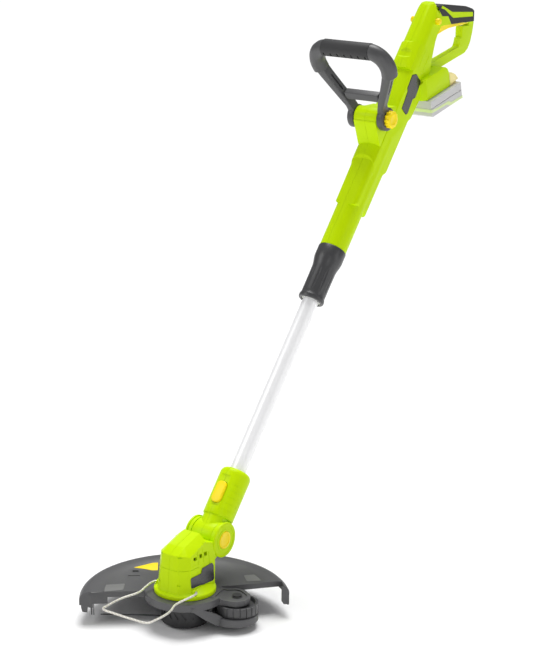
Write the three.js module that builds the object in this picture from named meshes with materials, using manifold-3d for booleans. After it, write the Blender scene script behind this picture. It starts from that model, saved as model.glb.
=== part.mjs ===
// Battery string trimmer, modelled upright as it is held for mowing.
// Millimetres, +Z up, X = 0 is the split plane of the handle, -Y is the front of the cutting head.
// The origin is the middle of the spool's lower face, on the motor's axis.
import * as THREE from 'three';
import { mergeVertices } from 'three/addons/utils/BufferGeometryUtils.js';
import Module from 'manifold-3d';

const wasm = await Module();
wasm.setup();

const CLEAR = 0.3;
const HALF_GAP = 0.15;
const WALL = 3;

// Pole line: it passes through the knuckle and leans back towards the user.
const KNUCKLE_Y = 59;
const KNUCKLE_Z = 115;
const POLE_LEAN = THREE.MathUtils.degToRad(39.3);

// Telescopic pole.
const TUBE_RADIUS = 12.5;
const TUBE_BORE = 11.2;
const TUBE_LOW = 62;
const TUBE_HIGH = 640;
const BUSH_LENGTH = 16;

// Handle barrel and lock sleeve, measured up the pole from the knuckle.
const BARREL_RADIUS = 21.5;
const BARREL_BORE = 18.5;
const BARREL_LOW = 488;
const BARREL_BORE_TOP = 772;
const SLEEVE_LOW = 397;
const SLEEVE_BORE = 15.5;
const COLLET_LOW = 398.5;
const COLLET_FLANGE = 500;
const COLLET_TOP = 514;

// Spine of the handle above the barrel.
const SPINE_HALF = 21;
const CHAMBER_HALF = 18;

// Front handle and its pivot.
const PIVOT_Y = 467;
const PIVOT_Z = 686.5;
const PIVOT_RADIUS = 17;
const EYE_RADIUS = 18.5;
const EYE_THICK = 11;
const LOOP_TILT = THREE.MathUtils.degToRad(31.5);
const STRAP_HALF = 8.5;
const LOOP_RADIUS = 12.6;
const GRIP_PAD_RADIUS = 13.2;
const GRIP_CORE = 10.4;
const GRIP_PAD_HALF = 43;
const GRIP_HEIGHT = 131.8;
const BOLT_RADIUS = 3;
const KNOB_RADIUS = 14;
const KNOB_FACE = 42.5;

// Rear handle.
const REAR_HALF = 12.5;
const BAR_HALF = 6.2;
const SKIN = 2.4;
const TRIGGER_HALF = 6.8;
const TRIGGER_PIVOT_Y = 743;
const TRIGGER_PIVOT_Z = 815;
const TRIGGER_PIN_RADIUS = 2;
const LOCK_OFF_S = 905;
const LOCK_OFF_FRONT = 12;
const LOCK_OFF_RADIUS = 5.2;
const LOCK_OFF_HALF = 27;

// Battery foot and pack, on a plane that rises towards the back.
const PACK_Y = 592;
const PACK_Z = 702;
const PACK_RISE = THREE.MathUtils.degToRad(13);
const FOOT_HALF = 30;
const FOOT_FRONT = -11;
const FOOT_BACK = 65;
const FOOT_HEIGHT = 35.5;
const PACK_HALF = 37;
const PACK_FRONT = -7;
const PACK_BACK = 88;
const PACK_DEPTH = 28;
const PACK_SPLIT = 13;
const CELL_RADIUS = 8.9;
const CELL_LENGTH = 2 * (PACK_HALF - 4.5);
const CELL_PITCH = 18.15;
const CELL_COUNT = 5;
const RAIL_HALF = 24;

// Lower socket.
const SOCKET_RADIUS = 23.6;
const NECK_RADIUS = 21.8;
const SOCKET_LOW = 29;
const SOCKET_HIGH = 106;
const TONGUE_RADIUS = 24.5;
const TONGUE_HALF = 18.4;
const SWIVEL_RADIUS = 16;
const SWIVEL_LOW = 64;
const SWIVEL_THICK = 5;
const BUTTON_S = 63;
const BUTTON_LENGTH = 34;
const BUTTON_WIDTH = 17;

// Motor head.
const EAR_RADIUS = 26.5;
const EAR_INNER = 18.8;
const EAR_OUTER = 28;
const PIN_RADIUS = 4;
const CAP_RADIUS = 13.2;
const CAP_SEAT = 24.5;
const BUTTON_SEAT = 21.8;
const BUTTON_THICK = 4;
const SHELL_SIDE = 31.2;
const SHELL_LEVEL = 57;
const SHELL_LEAN = [59, 0, 4.7];
const SHELL_BACK = 38;
const FLANGE_RADIUS = 45.6;
const FLANGE_LOW = 49.7;
const MOTOR_RADIUS = 18;
const MOTOR_LOW = 61.4;
const MOTOR_HIGH = 112;
const SHAFT_RADIUS = 2.5;

// Guard.
const COLLAR_RADIUS = 58.4;
const COLLAR_LOW = 38;
const COLLAR_TOP = 49.4;
const RIM_RADIUS = 154.5;
const GUARD_START = -131;
const GUARD_END = 39.5;
const RIM_END = 46;
const CUTTER_RADIUS = RIM_RADIUS - 20.5;

// Edge wheel.
const WHEEL_X = 68.4;
const WHEEL_Y = 35.8;
const WHEEL_RADIUS = 30.9;
const WHEEL_LOW = 21;
const WHEEL_HIGH = 36.5;
const AXLE_RADIUS = 4;
const SHOE_LOW = 9.6;
const SHOE_HIGH = 20.6;
const TONGUE_LOW = 37.3;
const TONGUE_TOP = 42;

// Spool.
const SPOOL_RADIUS = 35;
const SPOOL_TOP = 37.4;
const KNOB_HOLE = 13;
const REEL_BORE = 13.2;
const LINE_RADIUS = 0.8;
const LINE_HEIGHT = 7.5;
const LINE_DIRECTION = -124;

// Wire guard.
const WIRE_RADIUS = 1.6;
const WIRE_PIVOT_Y = -20;
const WIRE_PIVOT_Z = 60.4;

const LIME = 0xb4dc00;
const YELLOW = 0xfbd808;
const PALE_YELLOW = 0xf2e08a;
const CHARCOAL = 0x3c3c3e;
const GUARD_GREY = 0x58585a;
const BLACK = 0x2a2a2b;
const PALE_GREY = 0xc3c3c3;
const STEEL = 0xb9bbbd;
const SILVER = 0xe4e7ea;
const WIRE_GREY = 0xc9c5bd;
const CELL_BLUE = 0x4f7fa8;
const LINER = 0xd9dccf;
const WHEEL_GREY = 0x505052;

const poleFrame = new THREE.Matrix4()
  .makeTranslation(0, KNUCKLE_Y, KNUCKLE_Z)
  .multiply(new THREE.Matrix4().makeRotationX(-POLE_LEAN));
const packFrame = new THREE.Matrix4()
  .makeTranslation(0, PACK_Y, PACK_Z)
  .multiply(new THREE.Matrix4().makeRotationX(PACK_RISE));
const loopFrame = new THREE.Matrix4()
  .makeTranslation(0, PIVOT_Y, PIVOT_Z)
  .multiply(new THREE.Matrix4().makeRotationX(LOOP_TILT));
const worldFrame = new THREE.Matrix4();

const trimmer = new THREE.Group();
trimmer.name = 'string_trimmer';

// Turns a three.js geometry into a closed solid, placed in one of the frames above.
function solidOf(geometry, frame = worldFrame) {
  const bare = geometry.clone();
  bare.deleteAttribute('normal');
  bare.deleteAttribute('uv');
  bare.applyMatrix4(frame);
  const merged = mergeVertices(bare, 1e-4);
  const mesh = new wasm.Mesh({
    numProp: 3,
    vertProperties: new Float32Array(merged.attributes.position.array),
    triVerts: new Uint32Array(merged.index.array),
  });
  return new wasm.Manifold(mesh);
}

function addPiece(name, solid, colour, roughness = 0.5, metalness = 0) {
  const mesh = solid.getMesh();
  const geometry = new THREE.BufferGeometry();
  geometry.setAttribute('position', new THREE.BufferAttribute(new Float32Array(mesh.vertProperties), 3));
  geometry.setIndex(Array.from(mesh.triVerts));
  geometry.computeVertexNormals();
  const material = new THREE.MeshStandardMaterial({ color: colour, roughness, metalness });
  const piece = new THREE.Mesh(geometry, material);
  piece.name = name;
  trimmer.add(piece);
}

// A box from its lowest to its highest corner.
function block(low, high, frame) {
  const size = high.map((value, axis) => value - low[axis]);
  const geometry = new THREE.BoxGeometry(...size);
  geometry.translate(...low.map((value, axis) => value + size[axis] / 2));
  return solidOf(geometry, frame);
}

// A round bar along Z between two heights.
function upright(radius, low, high, frame, x = 0, y = 0, sides = 24) {
  const geometry = new THREE.CylinderGeometry(radius, radius, high - low, sides);
  geometry.rotateX(Math.PI / 2);
  geometry.translate(x, y, (low + high) / 2);
  return solidOf(geometry, frame);
}

// A round bar along X between two sides.
function crossBar(radius, left, right, y, z, frame, sides = 24) {
  const geometry = new THREE.CylinderGeometry(radius, radius, right - left, sides);
  geometry.rotateZ(-Math.PI / 2);
  geometry.translate((left + right) / 2, y, z);
  return solidOf(geometry, frame);
}

// A profile of [radius, height] points turned about Z.
function turned(profile, frame, sides = 28) {
  const points = profile.map(([radius, height]) => new THREE.Vector2(radius, height));
  const geometry = new THREE.LatheGeometry(points, sides);
  geometry.rotateX(Math.PI / 2);
  return solidOf(geometry, frame);
}

// A ring turned about Z, given by its inner and outer radius and its heights.
function ring(inner, outer, low, high, frame, sides = 24) {
  return turned([[inner, low], [outer, low], [outer, high], [inner, high], [inner, low]], frame, sides);
}

// A side outline of [y, z] points, given the same width to both sides of X = 0.
function slab(outline, half, bevel = 0, frame = worldFrame) {
  const shape = new THREE.Shape(outline.map(([y, z]) => new THREE.Vector2(y, z)));
  const geometry = new THREE.ExtrudeGeometry(shape, {
    depth: 2 * (half - bevel),
    bevelEnabled: bevel > 0,
    bevelSize: bevel,
    bevelOffset: -bevel,
    bevelThickness: bevel,
    bevelSegments: 2,
    steps: 1,
  });
  geometry.translate(0, 0, -(half - bevel));
  geometry.applyMatrix4(new THREE.Matrix4().set(0, 0, 1, 0, 1, 0, 0, 0, 0, 1, 0, 0, 0, 0, 0, 1));
  return solidOf(geometry, frame);
}

// A plan outline of [x, y] points between two heights.
function plate(outline, low, high, frame) {
  const shape = new THREE.Shape(outline.map(([x, y]) => new THREE.Vector2(x, y)));
  const geometry = new THREE.ExtrudeGeometry(shape, { depth: high - low, bevelEnabled: false, steps: 1 });
  geometry.translate(0, 0, low);
  return solidOf(geometry, frame);
}

// A round wire or tube bent along a list of [x, y, z] points.
function bentRod(points, radius, sides, steps, frame, tension = 0.5) {
  const stations = points.map((point) => new THREE.Vector3(...point));
  const curve = new THREE.CatmullRomCurve3(stations, false, 'catmullrom', tension);
  const section = new THREE.Shape();
  section.absarc(0, 0, radius, 0, 2 * Math.PI, false);
  const geometry = new THREE.ExtrudeGeometry(section, {
    extrudePath: curve,
    steps,
    curveSegments: sides,
    bevelEnabled: false,
  });
  return solidOf(geometry, frame);
}

function mirrored(points) {
  const others = points.map(([x, ...rest]) => [-x, ...rest]).reverse();
  return points.concat(others);
}

function leftSide(solid) {
  return solid.intersect(block([-400, -400, -100], [-HALF_GAP, 1200, 1200]));
}

function rightSide(solid) {
  return solid.intersect(block([HALF_GAP, -400, -100], [400, 1200, 1200]));
}

function triggerBar(radius, half) {
  return crossBar(radius, -half, half, TRIGGER_PIVOT_Y, TRIGGER_PIVOT_Z, worldFrame, 12);
}

function lockOffBar(radius, half) {
  return crossBar(radius, -half, half, -LOCK_OFF_FRONT, LOCK_OFF_S, poleFrame, 20);
}

// A round bar on the front handle's pivot.
function pivotBar(radius, left, right, sides = 20) {
  return crossBar(radius, left, right, PIVOT_Y, PIVOT_Z, worldFrame, sides);
}

// ---- Handle housing, two moulded halves ----

const spineOutline = [
  [-12, 622], [12, 622], [18, 636], [22.6, 643], [22.6, 738], [27, 746], [30, 800], [24, 836],
  [17, 851], [11, 866], [6, 880], [4, 892], [5.5, 924], [-2, 936], [-16, 937.5], [-23, 934.5],
  [-28.5, 924],
  [-29, 857], [-32.5, 850], [-32, 839], [-29.5, 836], [-29, 826], [-31.5, 823], [-28, 800], [-25, 770],
  [-25, 700], [-28.5, 672], [-28, 652],
];
const chamberOutline = [
  [-21.5, 730], [19, 730], [24, 748], [26.5, 800], [20, 834], [13, 848], [5.5, 864], [0, 876],
  [-4, 890], [-4, 922], [-9, 932], [-16, 932], [-21, 928], [-21.5, 912],
];
const pedestalOutline = [[-20, 664], [-40, 676], [-58, 686], [-56, 712], [-24, 738], [-20, 738]];
const rearOutline = [
  [600, 726], [640, 738.5], [719, 755.3], [738, 759], [748, 765], [756, 776], [762, 792], [765.5, 808],
  [763, 822], [751, 832], [729, 838], [697, 842], [668, 845.5], [640, 846], [622, 835],
  [608, 790], [598, 750],
];
const rearOpening = [
  [606, 748], [716.5, 771], [721, 776.5], [728, 804], [728, 812], [660, 813], [642, 812],
  [622, 806], [613, 778],
];

function handleBody() {
  let body = upright(BARREL_RADIUS, BARREL_LOW, 690, poleFrame, 0, 0, 32);
  body = body.add(slab(spineOutline, SPINE_HALF, 0, poleFrame).intersect(spineCrown()));
  body = body.add(slab(pedestalOutline, SPINE_HALF - 0.6, 1.5, poleFrame));
  body = body.add(pivotBar(PIVOT_RADIUS, -SPINE_HALF + 0.2, SPINE_HALF - 0.2, 28));
  const panel = [[-20.5, 560], [21.5, 560], [22.1, 646], [-21.8, 646]];
  body = body.add(slab(panel, SPINE_HALF - 0.4, 5, poleFrame));
  body = body.add(rearHandleBody());
  return body.add(footBody());
}

// Seen up the pole the spine has a crowned front, and its head is narrower and ends in an arch.
function spineCrown() {
  const wide = SPINE_HALF + 2;
  const lower = plate([
    [-wide, 60], [-wide, -16], [-18.5, -21.5], [-10, -24.3], [0, -25.2], [10, -24.3], [18.5, -21.5],
    [wide, -16], [wide, 60],
  ], 600, 812, poleFrame);
  const hump = plate([
    [-wide, 60], [-wide, -14], [-18.5, -25], [-9, -30.5], [0, -33], [9, -30.5], [18.5, -25],
    [wide, -14], [wide, 60],
  ], 806, 853.5, poleFrame);
  const head = plate([
    [-20.4, 60], [-20.4, -18], [-16.5, -22.8], [-9, -27.4], [0, -29], [9, -27.4], [16.5, -22.8], [20.4, -18],
    [20.4, 60],
  ], 849, 945, poleFrame);
  const place = poleFrame.clone().multiply(new THREE.Matrix4().makeRotationX(Math.PI / 2));
  const front = plate([
    [-60, 590], [60, 590], [60, 896], [21.5, 896], [19.7, 912], [17, 921.5], [12.2, 929.8],
    [6.4, 934.7], [0, 936.5], [-6.4, 934.7], [-12.2, 929.8], [-17, 921.5], [-19.7, 912], [-21.5, 896],
    [-60, 896],
  ], -80, 80, place);
  return lower.add(hump).add(head).intersect(front);
}

// The grip is wide and rounded at its end; the post and the lower bar that close the ring are narrow.
function rearHandleBody() {
  const ringSolid = slab(rearOutline, REAR_HALF, 3).subtract(slab(rearOpening, REAR_HALF + 5));
  const wide = REAR_HALF + 1;
  const plan = plate([
    [-wide, 590], [wide, 590], [wide, 746], [11.2, 756.4], [7.7, 762], [0, 764.6],
    [-7.7, 762], [-11.2, 756.4], [-wide, 746],
  ], 700, 900);
  const beside = block([BAR_HALF, 560, 600], [60, 800, 811]);
  const otherSide = block([-60, 560, 600], [-BAR_HALF, 800, 811]);
  return ringSolid.intersect(plan).subtract(beside).subtract(otherSide);
}

// The foot has upright sides; its front corners are cut off and its upper back corner is rounded.
function footBody() {
  const side = [
    [FOOT_FRONT, 0], [FOOT_BACK, 0], [FOOT_BACK, FOOT_HEIGHT - 11], [FOOT_BACK - 3, FOOT_HEIGHT - 4.5],
    [FOOT_BACK - 9, FOOT_HEIGHT], [FOOT_FRONT, FOOT_HEIGHT],
  ];
  const plan = plate([
    [-19, FOOT_FRONT - 1], [19, FOOT_FRONT - 1], [FOOT_HALF + 1, FOOT_FRONT + 7], [FOOT_HALF + 1, 80],
    [-FOOT_HALF - 1, 80], [-FOOT_HALF - 1, FOOT_FRONT + 7],
  ], -1, FOOT_HEIGHT + 1, packFrame);
  return slab(side, FOOT_HALF, 1.5, packFrame).intersect(plan);
}

const sidePlateOutline = [
  [-17, 800], [-8, 807.5], [10.5, 806], [12.2, 801], [14.6, 777.5], [9.6, 772], [12, 747.5], [8.5, 742.5],
  [-7.8, 743.8], [-11.2, 772.2], [-15.4, 777],
];

function handleHollow() {
  let hollow = upright(BARREL_BORE, BARREL_LOW - 5, BARREL_BORE_TOP, poleFrame, 0, 0, 32);
  hollow = hollow.add(slab(chamberOutline, CHAMBER_HALF, 0, poleFrame));
  const roof = FOOT_HEIGHT - WALL;
  const rail = RAIL_HALF + 1;
  hollow = hollow.add(block([-rail, FOOT_FRONT + WALL, -1], [rail, FOOT_BACK - WALL, 16], packFrame));
  hollow = hollow.add(block([-16, FOOT_FRONT + WALL + 1, 3], [16, FOOT_BACK - 14, roof - 2], packFrame));
  hollow = hollow.add(block([-rail, 40, -1], [rail, FOOT_BACK + 5, 9.6], packFrame));
  const wide = TRIGGER_HALF + 0.6;
  const slot = block([-wide, 616, 786], [wide, 727, 826.5]);
  const slotEnd = block([-wide, 720, 804], [wide, TRIGGER_PIVOT_Y + 5, 826.5]);
  const switchRoom = block([-8, 628, 826], [8, 700, 838.2]);
  hollow = hollow.add(slot).add(slotEnd).add(switchRoom);
  hollow = hollow.add(lockOffBar(LOCK_OFF_RADIUS + CLEAR, 30));
  hollow = hollow.add(pivotBar(BOLT_RADIUS + CLEAR, -30, 30));
  hollow = hollow.add(triggerBar(TRIGGER_PIN_RADIUS + CLEAR, 9.5));
  const beyond = block([SPINE_HALF - 1.2, -100, 0], [SPINE_HALF + 3, 100, 1200], poleFrame);
  const pocket = sidePlateOutline.map(([y, s]) => [1.05 * y, 774 + 1.02 * (s - 774)]);
  return hollow.add(slab(pocket, SPINE_HALF + 5, 0, poleFrame).intersect(beyond));
}

// The soft skin lies on the rear grip, over a core that is set back by its thickness.
function gripZone() {
  const zone = [
    [682, 811.4], [790, 811.4], [790, 830], [770, 860], [632, 860], [639, 842], [647.5, 828.5], [671, 826.4],
  ];
  return slab(zone, 40);
}

// A raised stripe of the housing shows through each side of the skin.
function stripeRib(back, up) {
  const stripe = [
    [652, 845], [683, 832.5], [749, 827], [750, 819.5], [687, 822.5], [660, 838], [648, 841],
  ];
  const outline = stripe.map(([y, z]) => [y + back, z + up]);
  return slab(outline, 40).subtract(slab(outline, REAR_HALF - SKIN - 0.4));
}

function gripCore() {
  const core = [
    [640, 815.9], [734, 815.2], [752, 806], [762, 809], [759.5, 820.5], [749, 829.4], [728.6, 835.6],
    [697, 839.6], [660, 843], [636, 843.2], [634, 830],
  ];
  return slab(core, REAR_HALF - SKIN, 1.5);
}

function buildHandleHalves(body, hollow) {
  const skin = gripZone().subtract(stripeRib(0, 0));
  const shells = body.subtract(skin).add(body.intersect(gripCore())).subtract(hollow);
  addPiece('handle_half_left', leftSide(shells), LIME, 0.38);
  addPiece('handle_half_right', rightSide(shells), LIME, 0.38);
}

function buildGripSkin(body) {
  const roomy = gripCore().scale([(REAR_HALF - SKIN + CLEAR) / (REAR_HALF - SKIN), 1, 1]);
  const lifted = roomy.add(roomy.translate([0, 0, CLEAR])).add(roomy.translate([0, 0, -CLEAR]));
  const shifted = lifted.add(roomy.translate([0, CLEAR, 0]));
  const slot = block([-TRIGGER_HALF - 0.6, 600, 780], [TRIGGER_HALF + 0.6, TRIGGER_PIVOT_Y + 5, 820]);
  let skin = body.intersect(gripZone().translate([0, CLEAR, CLEAR])).subtract(shifted).subtract(slot);
  for (const [back, up] of [[-CLEAR, -CLEAR], [-CLEAR, CLEAR], [CLEAR, -CLEAR], [CLEAR, CLEAR]]) {
    skin = skin.subtract(stripeRib(back, up));
  }
  addPiece('rear_grip_skin', skin, CHARCOAL, 0.85);
}

// ---- Trigger group ----

function buildTrigger() {
  const outline = [
    [645, 797.4], [656, 800.2], [668, 803], [684, 805.6], [722, 807], [744, 808.4], [747, 811], [747, 817],
    [744, 819], [700, 817.6], [658, 819.4], [645, 817],
  ];
  const hole = triggerBar(TRIGGER_PIN_RADIUS + CLEAR, 20);
  addPiece('trigger', slab(outline, TRIGGER_HALF, 1.2).subtract(hole), YELLOW, 0.35);
  addPiece('trigger_pin', triggerBar(TRIGGER_PIN_RADIUS, 9.2), STEEL, 0.3, 1);
}

function coil(radius, wire, low, high, turns, frame) {
  const points = [];
  const stations = turns * 8;
  for (let index = 0; index <= stations; index += 1) {
    const angle = (index / 8) * 2 * Math.PI;
    const height = low + ((high - low) * index) / stations;
    points.push([radius * Math.cos(angle), radius * Math.sin(angle), height]);
  }
  return bentRod(points, wire, 2, stations, frame);
}

function buildSwitch() {
  addPiece('power_switch', block([-7.4, 664, 826.8], [7.4, 690, 837.8]), BLACK, 0.6);
  const place = new THREE.Matrix4().makeTranslation(0, 654, 0);
  addPiece('trigger_spring', coil(3.4, 0.5, 820.2, 837.4, 5, place), STEEL, 0.3, 1);
}

function buildLockOff() {
  const button = lockOffBar(LOCK_OFF_RADIUS, LOCK_OFF_HALF).add(lockOffBar(LOCK_OFF_RADIUS + 1.6, 4));
  addPiece('lock_off_button', button, YELLOW, 0.35);
}

function buildNamePlate() {
  const solid = slab(sidePlateOutline, SPINE_HALF + 0.5, 0, poleFrame);
  const face = solid.intersect(block([SPINE_HALF - 0.9, 0, 0], [60, 1200, 1200]));
  addPiece('side_plate', face, BLACK, 0.35);
}

// ---- Battery foot and pack ----

function buildTerminalBlock() {
  const base = block([-15.6, 0, 9.9], [15.6, 46, 24.6], packFrame);
  const blades = [-9, 0, 9].map((x) => block([x - 0.5, 10, 2], [x + 0.5, 30, 10.5], packFrame));
  addPiece('terminal_block', blades.reduce((whole, blade) => whole.add(blade), base), BLACK, 0.55);
}

function packShell(low, high) {
  const side = [
    [PACK_FRONT + 3, low], [PACK_BACK - 3, low], [PACK_BACK, low + 3], [PACK_BACK, high], [PACK_FRONT, high],
    [PACK_FRONT, low + 3],
  ];
  return slab(side, PACK_HALF, 1.5, packFrame);
}

function buildPack() {
  const inner = [PACK_HALF - 2, PACK_BACK - 2];
  const lower = packShell(-PACK_DEPTH, -PACK_SPLIT - HALF_GAP);
  const lowerRoom = block([-inner[0], PACK_FRONT + 2, -PACK_DEPTH + 3], [inner[0], inner[1], 0], packFrame);
  addPiece('pack_case_lower', lower.subtract(lowerRoom), PALE_GREY, 0.5);
  let upper = slab(
    [[PACK_FRONT, -PACK_SPLIT + HALF_GAP], [PACK_BACK, -PACK_SPLIT + HALF_GAP], [PACK_BACK, -CLEAR],
      [PACK_FRONT, -CLEAR]],
    PACK_HALF, 1.5, packFrame,
  );
  const tongue = block([-RAIL_HALF, 9, -2], [RAIL_HALF, 59, 9.2], packFrame);
  const slots = [-9, 0, 9].map((x) => block([x - 1.4, 6, 1.4], [x + 1.4, 34, 12], packFrame));
  upper = upper.add(slots.reduce((whole, slot) => whole.subtract(slot), tongue));
  const floor = -PACK_SPLIT - 1;
  const upperRoom = block([-inner[0], PACK_FRONT + 2, floor], [inner[0], inner[1], -3.4], packFrame);
  const latchRoom = block([-28.4, 68, -8], [28.4, 86.4, 3], packFrame);
  const hood = block([-inner[0], 64.6, floor], [inner[0], inner[1], -3], packFrame);
  addPiece('pack_case_upper', upper.subtract(upperRoom).subtract(latchRoom).subtract(hood), PALE_GREY, 0.5);
  for (let index = 0; index < CELL_COUNT; index += 1) {
    const along = PACK_FRONT + 2.4 + CELL_RADIUS + index * CELL_PITCH;
    const height = -PACK_DEPTH + 3.3 + CELL_RADIUS;
    const cell = crossBar(CELL_RADIUS, -CELL_LENGTH / 2, CELL_LENGTH / 2, along, height, packFrame, 16);
    addPiece(`pack_cell_${index + 1}`, cell, CELL_BLUE, 0.4);
  }
}

function buildPackLatch() {
  const side = [
    [66, 3.6], [89, 3.6], [90, 5.5], [83, 14.2], [74, 20], [68, 21.4], [66, 20.5],
  ];
  const foot = block([-28, 68.5, -2.6], [28, 86, 6], packFrame);
  addPiece('pack_latch', slab(side, 31, 1.5, packFrame).add(foot), PALE_YELLOW, 0.4);
}

// ---- Front handle ----

const strapOuter = [
  [32.9, -6], [32.9, 14], [34, 24], [38, 31], [45.5, 45], [51.5, 56], [58, 68.5], [63, 78], [69.5, 91.5],
  [73, 102], [70, 108],
];
const strapInner = [
  [54, 106], [55, 98], [51.5, 88], [47, 77], [42, 66], [36.5, 54], [30, 41], [25, 27], [21.9, 18],
  [21.9, -6],
];

// Flat straps rise from the eyes, and a round bar joins them at the top.
function loopBody() {
  const path = mirrored([
    [62.6, 0, 90], [64.2, 0, 103], [61, 0, 116.5], [53, 0, 126.5], [41, 0, GRIP_HEIGHT],
    [20, 0, GRIP_HEIGHT],
  ]);
  let loop = bentRod(path, LOOP_RADIUS, 6, 36, loopFrame);
  const face = loopFrame.clone().multiply(new THREE.Matrix4().makeRotationX(Math.PI / 2));
  for (const way of [-1, 1]) {
    const outline = strapOuter.concat(strapInner).map(([x, up]) => [way * x, up]);
    const strap = plate(way > 0 ? outline : outline.reverse(), -STRAP_HALF, STRAP_HALF, face);
    const near = way * (SPINE_HALF + 0.9);
    const far = way * (SPINE_HALF + 0.9 + EYE_THICK);
    loop = loop.add(strap).add(pivotBar(EYE_RADIUS, Math.min(near, far), Math.max(near, far), 28));
  }
  return loop.add(block([-31, -6, 37], [31, 6, 50], loopFrame));
}

function buildFrontHandle() {
  const bolt = pivotBar(BOLT_RADIUS + CLEAR, -60, 60);
  const slot = block([-90, -1.7, 51], [90, 1.7, 79], loopFrame);
  const bare = crossBar(30, -GRIP_PAD_HALF - CLEAR, GRIP_PAD_HALF + CLEAR, 0, GRIP_HEIGHT, loopFrame);
  const core = crossBar(GRIP_CORE, -60, 60, 0, GRIP_HEIGHT, loopFrame, 20);
  const loop = loopBody().subtract(bolt).subtract(slot).subtract(bare.subtract(core));
  addPiece('front_handle', loop, CHARCOAL, 0.6);
  let pad = crossBar(GRIP_PAD_RADIUS, -GRIP_PAD_HALF, GRIP_PAD_HALF, 0, GRIP_HEIGHT, loopFrame, 24);
  pad = pad.subtract(crossBar(GRIP_CORE + CLEAR, -60, 60, 0, GRIP_HEIGHT, loopFrame, 20));
  for (let index = -3; index <= 3; index += 1) {
    const x = index * 12.6;
    pad = pad.subtract(block([x - 1.2, -20, GRIP_HEIGHT - 20], [x + 1.2, -6, GRIP_HEIGHT], loopFrame));
  }
  addPiece('front_grip_pad', pad, CHARCOAL, 0.85);
}

function buildPivotHardware() {
  const outer = SPINE_HALF + 0.9 + EYE_THICK;
  const knob = pivotBar(KNOB_RADIUS, outer + CLEAR, KNOB_FACE, 24);
  const bore = pivotBar(BOLT_RADIUS + CLEAR, 0, KNOB_FACE - 3);
  addPiece('handle_knob', knob.subtract(bore), YELLOW, 0.4);
  addPiece('handle_bolt', pivotBar(BOLT_RADIUS, -outer - 5.4, KNOB_FACE - 3.3), STEEL, 0.3, 1);
  const nut = pivotBar(6.2, -outer - 5.3, -outer - CLEAR, 6);
  addPiece('handle_nut', nut.subtract(pivotBar(BOLT_RADIUS + CLEAR, -60, 60)), STEEL, 0.35, 1);
}

// ---- Pole ----

function buildLockSleeve() {
  const top = BARREL_LOW - CLEAR;
  const profile = [
    [SLEEVE_BORE, SLEEVE_LOW], [19.6, SLEEVE_LOW], [20.4, SLEEVE_LOW + 2], [20.4, SLEEVE_LOW + 5],
    [19.2, SLEEVE_LOW + 8], [19.6, 455], [20.4, 462], [22, 470], [22.2, top],
    [SLEEVE_BORE, top], [SLEEVE_BORE, SLEEVE_LOW],
  ];
  addPiece('lock_sleeve', turned(profile, poleFrame, 28), CHARCOAL, 0.6);
}

function buildCollet() {
  const inner = TUBE_RADIUS + CLEAR;
  const outer = SLEEVE_BORE - CLEAR;
  let collet = turned([
    [inner, COLLET_LOW], [outer, COLLET_LOW], [outer, COLLET_FLANGE], [BARREL_BORE - CLEAR, COLLET_FLANGE],
    [BARREL_BORE - CLEAR, COLLET_TOP], [inner, COLLET_TOP], [inner, COLLET_LOW],
  ], poleFrame, 24);
  collet = collet.subtract(block([-30, -1, COLLET_LOW - 1], [30, 1, COLLET_LOW + 45], poleFrame));
  addPiece('tube_collet', collet, LINER, 0.5);
}

function buildTube() {
  addPiece('pole_tube', ring(TUBE_BORE, TUBE_RADIUS, TUBE_LOW, TUBE_HIGH, poleFrame, 32), SILVER, 0.25, 0.9);
  const inner = TUBE_RADIUS + CLEAR;
  const bush = ring(inner, BARREL_BORE - CLEAR, TUBE_HIGH - BUSH_LENGTH, TUBE_HIGH, poleFrame);
  addPiece('tube_bush', bush, BLACK, 0.6);
  const swivel = ring(inner, SWIVEL_RADIUS, SWIVEL_LOW, SWIVEL_LOW + SWIVEL_THICK, poleFrame);
  addPiece('swivel_ring', swivel, BLACK, 0.5);
}

// A round bar on the knuckle's axis.
function kneeBar(radius, left, right) {
  return crossBar(radius, left, right, KNUCKLE_Y, KNUCKLE_Z, worldFrame, 28);
}

// ---- Lower socket ----

function buttonOutline(extra) {
  const radius = BUTTON_WIDTH / 2 + extra;
  const straight = BUTTON_LENGTH / 2 - BUTTON_WIDTH / 2;
  const shape = [];
  for (let index = 0; index <= 8; index += 1) {
    const angle = (Math.PI * index) / 8;
    shape.push([radius * Math.cos(angle), straight + radius * Math.sin(angle)]);
  }
  for (let index = 0; index <= 8; index += 1) {
    const angle = Math.PI + (Math.PI * index) / 8;
    shape.push([radius * Math.cos(angle), -straight + radius * Math.sin(angle)]);
  }
  return shape;
}

// An oval post that stands forward of the pole line between two distances.
function ovalPost(extra, near, far) {
  const place = poleFrame.clone().multiply(new THREE.Matrix4().makeTranslation(0, 0, BUTTON_S));
  place.multiply(new THREE.Matrix4().makeRotationX(Math.PI / 2));
  return plate(buttonOutline(extra), near, far, place);
}

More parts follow.
